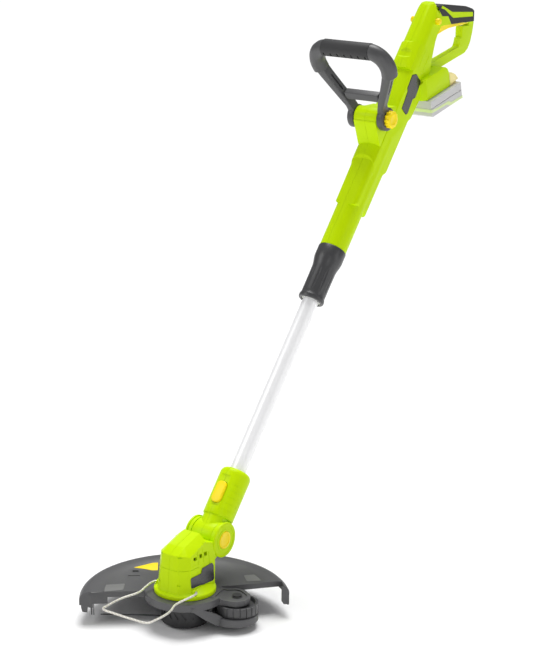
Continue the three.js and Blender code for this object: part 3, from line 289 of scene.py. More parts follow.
tube = turned([(11.2, 62), (12.1, 62), (12.5, 62.4), (12.5, 639.6), (12.1, 640), (11.2, 640), (11.2, 62)], 96)
finished("aluminium_tube", tube, POLE, aluminium, "pole", "aluminium", "pole_tube")
dress(black_plastic, "tube_bush", "swivel_ring")


# ---- The lower socket ----
# Two lime ABS halves screwed together on the centre plane. The round cup grips the tube, and the
# broad tongue below it sits between the motor head's ears. A panel on the front holds the button.

BUTTON_HEIGHT = 63
TONGUE_HALF = 18.4


def combine(base, tool, how):
    """Joins, cuts or keeps the common part of two closed shapes."""
    pair = []
    for shape in (base, tool):
        data = bpy.data.meshes.new("blank")
        shape.to_mesh(data)
        shape.free()
        item = bpy.data.objects.new("blank", data)
        scene.collection.objects.link(item)
        pair.append(item)
    step = pair[0].modifiers.new("combine", "BOOLEAN")
    step.operation = how
    step.solver = "MANIFOLD"
    step.object = pair[1]
    ready = pair[0].evaluated_get(bpy.context.evaluated_depsgraph_get())
    result = bmesh.new()
    result.from_mesh(ready.to_mesh())
    ready.to_mesh_clear()
    for item in pair:
        data = item.data
        bpy.data.objects.remove(item)
        bpy.data.meshes.remove(data)
    return result


def joined(base, *others):
    for other in others:
        base = combine(base, other, "UNION")
    return base


def cut(base, *tools):
    for tool in tools:
        base = combine(base, tool, "DIFFERENCE")
    return base


def moved(shape, place):
    bmesh.ops.transform(shape, matrix=place, verts=shape.verts)
    return shape


def drum(radius, low, high, steps=72):
    """A plain round block about Z, to cut or join with."""
    return turned([(0, low), (radius, low), (radius, high), (0, high)], steps)


def soften(shape, geom, offset, steps, affect="EDGES", clamp=True):
    """Rounds the given edges, or the corners of a flat outline."""
    bmesh.ops.bevel(
        shape, geom=geom, offset=offset, affect=affect, segments=steps, profile=0.5, material=-1,
        clamp_overlap=clamp,
    )


def box(low, high, rounding=0.0, steps=3):
    """A box between two corners, its edges rounded."""
    shape = bmesh.new()
    size = [b - a for a, b in zip(low, high)]
    middle = [(a + b) / 2 for a, b in zip(low, high)]
    place = Matrix.Translation(middle) @ Matrix.Diagonal((*size, 1))
    bmesh.ops.create_cube(shape, size=1, matrix=place)
    if rounding:
        soften(shape, list(shape.edges), rounding, steps)
    return shape


def across_bar(radius, left, right, y, z, rounding=0.0, steps=64):
    """A round bar along X."""
    r = rounding
    if r:
        profile = [(0, left), (radius - r, left), (radius - 0.3 * r, left + 0.3 * r), (radius, left + r),
                   (radius, right - r), (radius - 0.3 * r, right - 0.3 * r), (radius - r, right), (0, right)]
    else:
        profile = [(0, left), (radius, left), (radius, right), (0, right)]
    return moved(turned(profile, steps), Matrix.Translation((0, y, z)) @ Matrix.Rotation(pi / 2, 4, "Y"))


def thickened(shape, push, rounding, steps, corner):
    """Gives a flat outline its thickness, with its corners and its two rims rounded."""
    if corner:
        soften(shape, list(shape.verts), corner, 4, affect="VERTICES")
    spread = bmesh.ops.extrude_face_region(shape, geom=list(shape.faces))
    far = [item for item in spread["geom"] if isinstance(item, bmesh.types.BMVert)]
    bmesh.ops.translate(shape, verts=far, vec=push)
    bmesh.ops.recalc_face_normals(shape, faces=shape.faces)
    if rounding:
        way = Vector(push).normalized()
        rims = [edge for edge in shape.edges if abs((edge.verts[0].co - edge.verts[1].co).dot(way)) < 0.001]
        soften(shape, rims, rounding, steps)
    return shape


def side_slab(outline, half, rounding=0.0, steps=4, corner=0.0):
    """A side outline of (y, z) corners, given the same thickness to both sides of X = 0."""
    shape = bmesh.new()
    shape.faces.new([shape.verts.new((-half, y, z)) for y, z in outline])
    return thickened(shape, (2 * half, 0, 0), rounding, steps, corner)


def halves(name, shape, place, material, body, slot, left_node, right_node, crease=32):
    """Parts a moulding on its centre plane into its two halves."""
    other = shape.copy()
    reach = 1500
    left_room = box((-reach, -reach, -reach), (-0.15, reach, reach))
    right_room = box((0.15, -reach, -reach), (reach, reach, reach))
    sides = (("left", shape, left_room, left_node), ("right", other, right_room, right_node))
    for side, whole, room, node in sides:
        half = combine(whole, room, "INTERSECT")
        finished(f"{name}_{side}", half, place, material, body, slot, node, crease=crease)


lime = grained(
    "lime_plastic", (0.56, 0.80, 0.0), 0.36, relief=0.06, scale=1100.0, tone=0.05, change=0.05, specular=0.1
)
yellow = grained(
    "yellow_plastic", (1.0, 0.78, 0.0), 0.34, relief=0.08, scale=1300.0, tone=0.05, change=0.05, specular=0.3
)
steel = grained(
    "zinc_steel", (0.62, 0.63, 0.64), 0.32, metallic=1.0, relief=0.1, scale=700.0, tone=0.08,
    stretch=(1, 1, 0.2),
)

cup = turned([
    (0, 29), (21.8, 29), (23, 29.5), (23.6, 30.8), (23.6, 96.4), (23.3, 98.8), (22.4, 101.2), (20.8, 103.4),
    (18.2, 105), (15.2, 105.8), (13.2, 106), (0, 106),
])
tongue = across_bar(24.5, -TONGUE_HALF, TONGUE_HALF, 0, 0, 1.6)
neck = combine(drum(21.8, 3, 33), box((-TONGUE_HALF, -40, 2), (TONGUE_HALF, 40, 40)), "INTERSECT")
socket = joined(cup, neck, tongue)


def oval(length, width, near, far, rounding):
    """An upright oval that stands out of the front of the pole line."""
    low, high = BUTTON_HEIGHT - length / 2, BUTTON_HEIGHT + length / 2
    shape = box((-width / 2, -far, low), (width / 2, -near, high))
    sides = [edge for edge in shape.edges if abs(edge.verts[0].co.y - edge.verts[1].co.y) > 1]
    soften(shape, sides, width * 0.42, 6, clamp=False)
    if rounding:
        rim = [edge for edge in shape.edges if all(abs(vert.co.y + far) < 0.001 for vert in edge.verts)]
        soften(shape, rim, rounding, 3, clamp=False)
    return shape


ledge = box((-12, -40, 41), (12, -22.0, 91.5), 1.2)
socket = cut(socket, ledge, oval(35.6, 18.6, 19.0, 40, 0), oval(34.6, 17.6, 17.2, 40, 0))
socket = cut(socket, drum(12.8, 61.7, 120, 64), drum(16.3, 63.7, 69.3, 64))
socket = cut(socket, across_bar(4.3, -30, 30, 0, 0, 0, 32))
for height in (40, 50, 60, 70, 80):
    top = height + 0.9
    groove = turned([(23.25, height), (26, height), (26, top), (23.25, top), (23.25, height)], 64)
    for way in (-1, 1):
        near, far = sorted((way * 14, way * 30))
        span = box((near, -22, height - 2), (far, 16, height + 3))
        socket = cut(socket, combine(groove.copy(), span, "INTERSECT"))
    groove.free()
halves("socket", socket, POLE, lime, "socket", "lime", "socket_half_left", "socket_half_right")

button = oval(34, 17, 20.4, 25.2, 1.5)
finished("turn_button", button, POLE, yellow, "rotate_button", "yellow", "rotate_button")
dress(steel, "rotate_button_spring")


# ---- Inside the motor head ----
# A wound can on a pressed steel mount, its shaft held in a bearing cup at the top. The can, shaft and
# mount are plated steel, the cup is black nylon, and the mount sits on the floor of the head.

motor_steel = grained(
    "motor_can_steel", (0.55, 0.56, 0.58), 0.3, metallic=1.0, relief=0.12, scale=800.0, tone=0.1,
    stretch=(1, 1, 0.1),
)
dress(motor_steel, "motor_can", "motor_mount")
dress(black_plastic, "motor_end_cap")
dress(steel, "motor_shaft")


# ---- The motor head ----
# Two lime ABS halves with flat facets, screwed together on the centre plane. Ears at the back hold
# the socket on a cross pin, and a round flange at the foot meets the guard.


def faceted(low, high, planes, rounding, steps=3):
    """A block cut by planes, each a point and an outward direction, its edges then rounded."""
    shape = box(low, high)
    for point, way in planes:
        bmesh.ops.bisect_plane(
            shape, geom=list(shape.verts) + list(shape.edges) + list(shape.faces), plane_co=point,
            plane_no=way, clear_outer=True,
        )
        bmesh.ops.holes_fill(shape, edges=[edge for edge in shape.edges if edge.is_boundary])
    bmesh.ops.dissolve_limit(shape, angle_limit=radians(1), verts=shape.verts, edges=shape.edges)
    if rounding:
        soften(shape, list(shape.edges), rounding, steps)
    return shape


def both_ways(planes):
    return planes + [((-x, y, z), (-a, b, c)) for (x, y, z), (a, b, c) in planes]


def set_back(planes, depth):
    """The same planes, moved inwards."""
    return [(Vector(point) - Vector(way).normalized() * depth, way) for point, way in planes]


def flat_slab(outline, low, high, rounding=0.0, corner=0.0, steps=3):
    """A plan outline of (x, y) corners between two heights."""
    shape = bmesh.new()
    shape.faces.new([shape.verts.new((x, y, low)) for x, y in outline])
    return thickened(shape, (0, 0, high - low), rounding, steps, corner)


EAR_HALF = 25.4
EAR_GAP = 18.8
WIRE_PIVOT = (-20, 60.4)
FRONT_ROOM = ((-60, -61, 53), (60, 16, 150))

front_planes = [
    ((0, -40, 57), (0, -58, 4.5)), ((0, -19, 123.9), (0, -11.4, 34)), ((0, -35.5, 115), (0, -8.9, 16.5)),
]
front_planes += both_ways([
    ((6, -40, 57), (81.2, -725, 54.9)), ((18.5, -38.6, 57), (788.8, -736.6, 98.4)),
    ((14, -19, 123.9), (354.6, -142.5, 425)), ((14, -19, 123.9), (135.5, -97.1, 185.4)),
    ((31.2, 0, 57), (59, 0, 4.7)),
])
back_planes = [((0, 14, 124.5), (0, 5, 20))]
back_planes += both_ways([((31, 31, 57), (7, 5, 0)), ((31.2, 0, 57), (59, 0, 4.7))])
head_shell = joined(
    faceted((-60, -60, 53), (60, 16, 150), front_planes, 0.9),
    faceted((-60, 10, 53), (60, 38, 150), back_planes, 0.9),
)
ears = side_slab([
    (10, 66), (37, 66), (38, 90), (44, 94), (59, 100), (59, 120), (36, 120), (30, 116), (10, 114),
], EAR_HALF)
ears = joined(ears, across_bar(24.6, -EAR_HALF, EAR_HALF, *KNUCKLE, 0, 96))
for way in (-1, 1):
    near, far = sorted((way * 24.2, way * 28))
    ears = joined(ears, across_bar(26.5, near, far, *KNUCKLE, 1.5, 96))
ears = cut(ears, box((-EAR_GAP, -100, 0), (EAR_GAP, 200, 200)))
head_shell = joined(head_shell, ears)
head_shell = cut(
    head_shell, across_bar(25.5, -EAR_GAP, EAR_GAP, *KNUCKLE), box((-EAR_GAP, 47, 60), (EAR_GAP, 120, 170)),
)
flange = turned([
    (0, 49.7), (45.0, 49.7), (45.5, 50.0), (45.6, 50.6), (45.6, 54.6), (45.3, 55.6), (44.4, 56.4),
    (42.2, 57.5), (31, 63.8), (0, 63.8),
], 96)
head_shell = joined(head_shell, flange)
for way in (-1, 1):
    near, far = sorted((way * 28, way * 35.5))
    head_shell = joined(head_shell, across_bar(3.8, near, far, *WIRE_PIVOT, 0.7, 32))
seam = box((-60, -60, 92.7), (60, -4, 93.3))
seam = cut(seam, faceted(*FRONT_ROOM, set_back(front_planes, 0.6), 0))
head_shell = cut(head_shell, seam)
SIDE = Matrix.Translation((31.2, 0, 57)) @ Matrix.Rotation(-radians(4.555), 4, "Y")
for along, low, high in ((-4.5, 40, 58), (8, 40, 59), (21, 28, 52)):
    for mirror in (1, -1):
        groove = moved(box((-0.7, along - 0.4, low), (6, along + 0.4, high)), SIDE)
        if mirror < 0:
            groove = moved(groove, Matrix.Diagonal((-1, 1, 1, 1)))
            bmesh.ops.recalc_face_normals(groove, faces=groove.faces)
        head_shell = cut(head_shell, groove)
room = flat_slab([
    (-14, -32), (14, -32), (24, -21), (24, 26), (20, 31), (-20, 31), (-24, 26), (-24, -21),
], 57.3, 113)
room = cut(room, across_bar(28, -40, 40, *KNUCKLE))
head_shell = cut(head_shell, room, drum(27, 57.2, 61.5, 48), drum(9, 40, 60, 32))
head_shell = cut(
    head_shell, across_bar(4.3, -40, 40, *KNUCKLE),
    across_bar(13.5, 21.8, 40, *KNUCKLE), across_bar(13.5, -40, -24.5, *KNUCKLE),
    across_bar(1.9, -60, -29, *WIRE_PIVOT, 0, 24), across_bar(1.9, 29, 60, *WIRE_PIVOT, 0, 24),
)
for front, back, top in ((-14.3, -7, 109.5), (-0.4, 5.7, 110.7), (10.9, 17, 110.7)):
    head_shell = cut(head_shell, box((-40, front, 104.5), (40, back, top), 0.5))
for way in (-1, 1):
    for spot, height in ((16.0, 113.5), (17.5, 72)):
        near, far = sorted((way * (spot - 2.2), way * (spot + 2.2)))
        nick = box((near, -60, height - 1.4), (far, -10, height + 1.4))
        head_shell = cut(head_shell, cut(nick, faceted(*FRONT_ROOM, set_back(front_planes, 1.2), 0)))
ring_recess = turned([(16.6, 28.6), (16.6, 27.4), (21.2, 27.4), (21.2, 28.6), (16.6, 28.6)], 64)
for way in (-1, 1):
    turn_ring = Matrix.Translation((0, *KNUCKLE)) @ Matrix.Rotation(way * pi / 2, 4, "Y")
    head_shell = cut(head_shell, moved(ring_recess.copy(), turn_ring))
ring_recess.free()
halves(
    "motor_head", head_shell, UPRIGHT, lime, "head", "lime", "motor_shell_left", "motor_shell_right",
    crease=24,
)

badge_black = grained("badge_black", (0.02, 0.02, 0.021), 0.22, relief=0.04, scale=1200.0, coat=0.4)
SIDE_STRETCH = 1.0032  # a height on the leaning side, measured along it
badge_outline = [
    (-24.5, 68), (-23, 66), (-2.2, 65.2), (1.7, 64.2), (9, 63.9), (26.5, 63), (29, 65.5), (29.4, 86.5),
    (26, 90.2), (3.2, 89), (-0.2, 82), (-23, 82), (-24.5, 80.5),
]
badge = side_slab([(y, (z - 57) * SIDE_STRETCH) for y, z in badge_outline], 0.4, 0.25, 2, 0.8)
badge = moved(badge, SIDE @ Matrix.Translation((0.72, 0, 0)))
finished("head_badge", badge, UPRIGHT, badge_black, "head", "black", "head_plate", crease=10)


# ---- The knuckle ----
# A steel pin through the ears and the socket. A yellow button on the right end frees the tilt, and a
# yellow plug with a hollow face closes the left end.

dress(steel, "knuckle_pin")
cap = cut(across_bar(13.2, -28.6, -24.8, *KNUCKLE, 1.0), across_bar(9.5, -40, -27.6, *KNUCKLE, 0.4))
finished("knuckle_plug", cap, UPRIGHT, yellow, "head", "yellow", "knuckle_cap")
tilt = cut(across_bar(13.2, 25, 29, *KNUCKLE, 1.0), across_bar(9.8, 28.3, 40, *KNUCKLE, 0.4))
finished("tilt_release", tilt, UPRIGHT, yellow, "tilt_button", "yellow", "tilt_button")


# ---- The guard ----
# One injection-moulded polypropylene shield round the back of the spool, screwed up into the motor
# head. It carries a blade that trims the line, and an arm for the wheel that runs along a lawn edge.

GUARD_FROM = -131
GUARD_TO = 39.5
CORNER_TO = 45.8
LABEL = (48.7, 49.1)
SHOE_PLACE = Matrix.Translation((65.5, 33, 0))
WHEEL_PLACE = Matrix.Translation((68.4, 35.8, 0))


def swept(profile, start, end, steps):
    """A closed profile of (radius, height), carried about Z between two directions from +Y to +X."""
    shape = bmesh.new()
    face = shape.faces.new([shape.verts.new((radius, 0, height)) for radius, height in profile])
    turn = Matrix.Rotation(radians(90 - end), 4, "Z")
    bmesh.ops.transform(shape, matrix=turn, verts=shape.verts)
    geom = list(shape.verts) + list(shape.edges) + [face]
    bmesh.ops.spin(
        shape, geom=geom, cent=(0, 0, 0), axis=(0, 0, 1), angle=radians(end - start), steps=steps,
        use_merge=False,
    )
    bmesh.ops.remove_doubles(shape, verts=shape.verts, dist=0.001)
    bmesh.ops.recalc_face_normals(shape, faces=shape.faces)
    return shape


def facing(direction):
    return Matrix.Rotation(-radians(direction), 4, "Z")


guard_plastic = grained(
    "guard_plastic", (0.085, 0.085, 0.088), 0.45, relief=0.35, scale=1300.0, tone=0.12, change=0.08
)
guard = swept([
    (40, 44), (122, 46), (138.5, 46.2), (145.5, 43.6), (149.5, 41), (151.0, 38.6), (151.5, 36),
    (151.5, 28.6), (154.4, 28.5), (154.5, 28.7), (154.5, 38.2), (153.9, 40.6), (152.4, 43.4),
    (149.5, 46.2), (145.5, 48.2), (141.5, 49.1), (137.0, 49.4), (118.0, 49.4), (117.0, 48.8),
    (66.0, 48.8), (65.0, 49.4), (40, 49.4),
], GUARD_FROM, GUARD_TO, 96)
collar = turned([
    (30, 44), (55.4, 44), (55.4, 38), (57.8, 38), (58.4, 38.6), (58.6, 48.6), (57.8, 49.4), (30, 49.4),
    (30, 44),
], 96)
corner = swept([
    (146.5, 44.2), (149.5, 41), (151.5, 36), (151.5, 24), (154.5, 24), (154.5, 38.2), (153.9, 40.6),
    (152.4, 43.4), (149.5, 46.2), (146.5, 47.8),
], GUARD_TO - 2, CORNER_TO, 8)
corner = joined(corner, swept([(151.5, 18), (154.5, 18), (154.5, 30), (151.5, 30)], 42, CORNER_TO, 4))
guard = joined(guard, collar, corner)
guard = joined(guard, moved(box((-1.5, 56.4, 40), (1.5, 149.5, 46), 0.3), facing(GUARD_FROM + 0.8)))
guard = joined(guard, moved(box((-1.5, 56.4, 40.5), (1.5, 149.5, 46), 0.3), facing(GUARD_TO - 0.8)))
FROM = facing(GUARD_FROM)
seat_front = moved(box((0.05, 113, 30), (3, 137.3, 46), 0.4), FROM)
seat_side = moved(box((0.05, 134.3, 24), (17, 137.25, 46), 0.4), FROM)
fin = flat_slab([(2, 46), (2, 29), (5, 20), (9, 15), (20, 23), (22, 46)], -2.6, 0, 0.4, 0.8)
fin = moved(fin, FROM @ Matrix.Translation((0, 143.5, 0)) @ Matrix.Rotation(pi / 2, 4, "X"))
guard = joined(guard, seat_front, seat_side, fin)
left_fin = side_slab([
    (135.5, 45), (135.5, 13), (137.5, 13.6), (138, 24), (142, 25), (142.5, 16.5), (150, 18), (151.9, 25),
    (151.9, 42.5), (149, 45),
], 1.3, 0.3, 2)
right_fin = side_slab([
    (143.2, 45), (143.2, 24), (146.5, 18.6), (151.9, 18.6), (151.9, 42.5), (149, 45),
], 1.3, 0.3, 2)
left_fin = moved(left_fin, FROM @ Matrix.Translation((1.4, 0, 0)))
right_fin = moved(right_fin, facing(CORNER_TO) @ Matrix.Translation((-1.4, 0, 0)))
guard = joined(guard, left_fin, right_fin)

ARM_RIM = [
    (41, 2.5), (48.5, -3), (56.5, 6.6), (62, 9.3), (73, 11.6), (81, 14.2), (87.6, 23), (89.4, 31.5),
    (88, 41), (82, 50), (64, 59.5), (50, 57), (35, 42),
]
ARM_FLOOR = [
    (50, 6), (58, 12.8), (72, 16), (80, 19.2), (84.2, 26), (85, 33.3), (82.8, 41), (78, 46.8), (62, 54),
    (53, 53), (40, 40),
]


def above_arm(outline, drop):
    """What lies over the arm's top, which is level at the wheel and rises to the motor head."""
    level_top = flat_slab(outline, 45.6 - drop, 60, 0, 2)
    slope = faceted((20, -12, 40), (100, 80, 62), [((41.6, 21.8, 49.4 - drop), (-0.244, -0.128, -0.961))], 0)
    return combine(level_top, slope, "INTERSECT")


arm = flat_slab(ARM_RIM, 37.3, 50, 0, 3)
wider_rim = [(66 + 1.02 * (x - 66), 28 + 1.02 * (y - 28)) for x, y in ARM_RIM]
shoe = turned([(0, 9.6), (34.6, 9.6), (35.5, 10.5), (35.5, 19.8), (34.7, 20.6), (0, 20.6)], 96)
shoe = cut(moved(shoe, SHOE_PLACE), moved(drum(32.3, 8, 17.2, 96), SHOE_PLACE))
shoe = joined(shoe, moved(drum(9, 9.7, 20.5, 48), WHEEL_PLACE))
arm_wall = moved(box((-17, 38, 9.65), (17, 43.5, 44), 0.4), facing(62.37))
strut = side_slab([
    (-3, 44), (-3, 37.5), (0, 37), (20.7, 20.5), (34, 12), (40, 9.7), (52, 9.7), (52, 18.5), (48.8, 19.8),
    (36.5, 28.5), (14.7, 39), (12, 44),
], 3.2, 0.8, 3, 0.8)
strut_way = Matrix.Translation((45.4, -37.5, 0)) @ Matrix.Rotation(-radians(29.4), 4, "Z")
strut = moved(strut, strut_way @ Matrix.Translation((-3.2, 0, 0)))
carrier = joined(arm, shoe, arm_wall, strut)
carrier = cut(carrier, drum(37, -1, 43, 96), drum(46.5, 42, 60, 96))
carrier = cut(carrier, moved(drum(31.5, 20.7, 36.8, 96), WHEEL_PLACE))
guard = joined(guard, carrier)
guard = cut(guard, above_arm(wider_rim, 0), above_arm(ARM_FLOOR, 1.6))
seat = turned([(4.4, 43), (8, 43), (8, 45.4), (4.4, 45.4), (4.4, 43)], 48)
guard = joined(guard, moved(seat, WHEEL_PLACE))
guard = cut(guard, moved(drum(4.3, 8, 60, 32), WHEEL_PLACE))
for direction in (-100, -20):
    screw_place = facing(direction) @ Matrix.Translation((0, 42, 0))
    guard = cut(guard, moved(drum(2.5, 30, 60, 24), screw_place))
guard = cut(guard, flat_slab([(-108.5, 10.9), (-101.4, 16.3), (-96.2, 9.9), (-103.2, 4.5)], 47, 52))
guard = cut(guard, flat_slab([(-101.6, -8.0), (-87.6, 2.8), (-77.3, -9.7), (-91.3, -20.5)], 48.1, 52))
finished("guard", guard, UPRIGHT, guard_plastic, "head", "guard_plastic", "guard_shell")

label_grey = grained("label_grey", (0.18, 0.18, 0.178), 0.35, relief=0.04, scale=900.0)
label_yellow = grained("label_yellow", (0.98, 0.74, 0.004), 0.4, relief=0.03, scale=900.0)
left_label = flat_slab([(-119.4, -72.1), (-84.6, -35.4), (-71.6, -55.0), (-101.4, -92.4)], *LABEL, 0.1, 2)
finished("left_label", left_label, UPRIGHT, label_grey, "head", "guard_plastic", "guard_shell")
right_label = flat_slab([(35.4, 96.7), (62.9, 126.8), (90.8, 117.9), (52.3, 81.2)], *LABEL, 0.1, 2)
right_label = combine(right_label, drum(139, 40, 60, 96), "INTERSECT")
finished("right_label", right_label, UPRIGHT, label_grey, "head", "guard_plastic", "guard_shell")
yellow_label = flat_slab([
    (-113.9, 20.6), (-103.2, 51.7), (-97.4, 58.0), (-78.6, 33.9), (-85.6, 28.4), (-97.4, 26.3),
], *LABEL, 0.1, 1)
finished("yellow_label", yellow_label, UPRIGHT, label_yellow, "head", "guard_plastic", "guard_shell")
blade_steel = grained(
    "blued_steel", (0.11, 0.11, 0.115), 0.4, metallic=0.8, relief=0.1, scale=700.0, tone=0.08
)
dress(blade_steel, "line_cutter", "cutter_screw")
dress(steel, "guard_screw_1", "guard_screw_2")


# ---- The edge wheel ----
# A moulded nylon wheel with raised pads round its tread, so that it grips a lawn's edge. It turns on a
# black shouldered bolt, between the guard's arm and its shoe.


def around(count, axis="Z"):
    """The turns that space a number of copies evenly round an axis."""
    return [Matrix.Rotation(2 * pi * number / count, 4, axis) for number in range(count)]


wheel = turned([
    (4.3, 23), (22, 23), (24, 21), (28.9, 21), (29.6, 21.8), (29.6, 35.6), (28.9, 36.5), (27, 36.5),
    (25, 31.5), (12, 31.5), (10, 36.9), (4.3, 36.9), (4.3, 23),
], 96)
pads = bmesh.new()
for spoke in around(20):
    place = spoke @ Matrix.Translation((29.6, 0, 28.75))
    bmesh.ops.create_cube(pads, size=1, matrix=place @ Matrix.Diagonal((2.4, 8.0, 14.6, 1)))
soften(pads, list(pads.edges), 0.45, 2, clamp=False)
wheel = moved(combine(joined(wheel, pads), drum(30.85, 20, 38, 96), "INTERSECT"), WHEEL_PLACE)
wheel_plastic = grained("wheel_nylon", (0.06, 0.06, 0.062), 0.36, relief=0.2, scale=1500.0)
finished("edge_roller", wheel, UPRIGHT, wheel_plastic, "edge_wheel", "charcoal", "edge_wheel")
dress(black_plastic, "wheel_bolt")


# ---- The wire guard ----
# A bent, zinc-plated steel wire that swings down in front of the line to keep it off plants. Drawing
# marks wind round it in pale and dark stripes.

wire_zinc, tree, shader = blank_material("bent_zinc_wire")
wire_coords = add_node(tree, "ShaderNodeTexCoord")
wire_wave = add_node(tree, "ShaderNodeTexWave", Scale=95.0, Distortion=2.0, Detail=1.0, Detail_Scale=2.0)
wire_wave.bands_direction = "DIAGONAL"
wire_tone = add_node(tree, "ShaderNodeMix", data_type="RGBA")
wire_tone.inputs["A"].default_value = (0.60, 0.58, 0.50, 1)
wire_tone.inputs["B"].default_value = (0.74, 0.72, 0.67, 1)
wire_bump = add_node(tree, "ShaderNodeBump", Strength=0.4, Distance=0.0003)
tree.links.new(wire_coords.outputs["Object"], wire_wave.inputs["Vector"])
tree.links.new(wire_wave.outputs["Fac"], wire_tone.inputs["Factor"])
tree.links.new(wire_tone.outputs["Result"], shader.inputs["Base Color"])
tree.links.new(wire_wave.outputs["Fac"], wire_bump.inputs["Height"])
tree.links.new(wire_bump.outputs["Normal"], shader.inputs["Normal"])
shader.inputs["Metallic"].default_value = 0.35
shader.inputs["Roughness"].default_value = 0.38


def rod(name, points, radius, roundness, steps):
    """A round rod on a smooth curve through points, closed at both ends."""
    data = bpy.data.curves.new(name, "CURVE")
    data.dimensions = "3D"
    data.bevel_depth = radius
    data.bevel_resolution = roundness
    data.use_fill_caps = True
    data.resolution_u = steps
    spline = data.splines.new("BEZIER")
    spline.bezier_points.add(len(points) - 1)
    for knot, place in zip(spline.bezier_points, points):
        knot.co = place
        knot.handle_left_type = knot.handle_right_type = "AUTO"
    item = bpy.data.objects.new(name, data)
    scene.collection.objects.link(item)
    return item


def bent(name, points, radius, steps):
    """The same rod as a closed shape, to cut and join."""
    item = rod(name, points, radius, 6, steps)
    ready = item.evaluated_get(bpy.context.evaluated_depsgraph_get())
    shape = bmesh.new()
    shape.from_mesh(ready.to_mesh())
    ready.to_mesh_clear()
    data = item.data
    bpy.data.objects.remove(item)
    bpy.data.curves.remove(data)
    bmesh.ops.remove_doubles(shape, verts=shape.verts, dist=0.0005)
    bmesh.ops.recalc_face_normals(shape, faces=shape.faces)
    return shape


wire_side = [
    (31, *WIRE_PIVOT), (36.5, -20.2, 60.4), (38.8, -24, 60.4), (37.5, -45, 59), (35, -60, 57.5),
    (36, -70, 57), (41, -84, 56), (43.5, -98, 55.5), (43, -125, 55), (41.5, -135.4, 55),
    (37.5, -137.8, 55), (20, -139, 55),
]
wire_path = wire_side + [(-x, y, z) for x, y, z in reversed(wire_side)]
finished("wire_bow", bent("wire", wire_path, 1.6, 8), UPRIGHT, wire_zinc, "wire_guard", "wire", "wire_guard")


# ---- The spool and its line ----
# A black nylon cup that turns with the motor, with slanted cooling slots, a snap-in lid and a sprung
# knob. The nylon line leaves through a steel eyelet, straight and stiff; its route is in metres.

LINE_WAY = -124
outlet = facing(LINE_WAY)
spool = turned([
    (2.8, 32), (32, 32), (32, 3.4), (34.2, 3.4), (34.8, 5), (35, 10), (35, 34.6), (34.4, 36.4), (33, 37.4),
    (2.8, 37.4), (2.8, 32),
], 96)
spool = cut(spool, moved(box((-4.4, 25, -1), (4.4, 60, 11.8), 0.6), outlet))
slots = bmesh.new()
for spoke in around(20):
    place = spoke @ Matrix.Translation((35, 0, 21)) @ Matrix.Rotation(radians(35), 4, "X")
    bmesh.ops.create_cube(slots, size=1, matrix=place @ Matrix.Diagonal((2.4, 3.2, 11, 1)))
spool = cut(spool, slots)
finished("spool_body", spool, UPRIGHT, black_plastic, "spool", "black", "spool_cup")
dress(black_plastic, "spool_lid", "line_winding", "line_reel", "bump_knob")
dress(steel, "line_eyelet", "reel_spring")

line_nylon = grained("line_nylon", (0.02, 0.02, 0.021), 0.3, relief=0.05, scale=600.0)
line_route = [
    Vector((0, 0.032, 0.0075)), Vector((0, 0.060, 0.0075)), Vector((-0.001, 0.092, 0.0079)),
    Vector((-0.003, 0.124, 0.0085)),
]
trimmer_line = rod("trimmer_line", [outlet @ place for place in line_route], 0.0008, 3, 6)
trimmer_line.data.materials.append(line_nylon)
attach(trimmer_line, "spool")
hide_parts("cutting_line")


# ---- The lock sleeve ----
# A fluted nylon grip that screws up onto the barrel and squeezes a split acetal collet on the tube,
# so the pole holds its length. The collet's flange sits inside the barrel.

sleeve = turned([
    (15.5, 397), (19.0, 397), (20.0, 397.8), (20.5, 399.5), (20.5, 402), (19.8, 404), (19.0, 406),
    (19.0, 410), (19.2, 452), (20.2, 458), (21.4, 463), (22.2, 468), (22.4, 470), (22.4, 486.4),
    (21.6, 487.7), (15.5, 487.7), (15.5, 397),
], 96)
flutes = bmesh.new()
for spoke in around(10):
    place = spoke @ Matrix.Translation((21.6, 0, 430)) @ Matrix.Diagonal((3.6, 3.6, 26, 1))
    bmesh.ops.create_icosphere(flutes, subdivisions=4, radius=1, matrix=place)
sleeve = cut(sleeve, flutes)
sleeve_nylon = grained("sleeve_nylon", (0.050, 0.050, 0.052), 0.36, relief=0.25, scale=1500.0)
finished("lock_grip", sleeve, POLE, sleeve_nylon, "sleeve", "charcoal", "lock_sleeve")
collet_acetal = grained("collet_acetal", (0.72, 0.74, 0.66), 0.4, relief=0.1, scale=900.0)
dress(collet_acetal, "tube_collet")


# ---- The handle housing ----
# Two long ABS halves, screwed together on the centre plane. They form the barrel for the pole, the
# ridge that carries the front handle, the rear handle's ring and the foot for the battery.

PACK = Matrix.Translation((0, 592, 702)) @ Matrix.Rotation(radians(13), 4, "X")
REAR_HALF = 12.5
PIVOT = (467, 686.5)  # the (y, z) of the front handle's bolt
TRIGGER_PIN = (743, 815)
LOCK_OFF = (-12, 905)


def both_sides(points):
    """A crown's left corners, from its back to its middle, followed by their mirror images."""
    return points + [(-x, y) for x, y in reversed(points) if x]


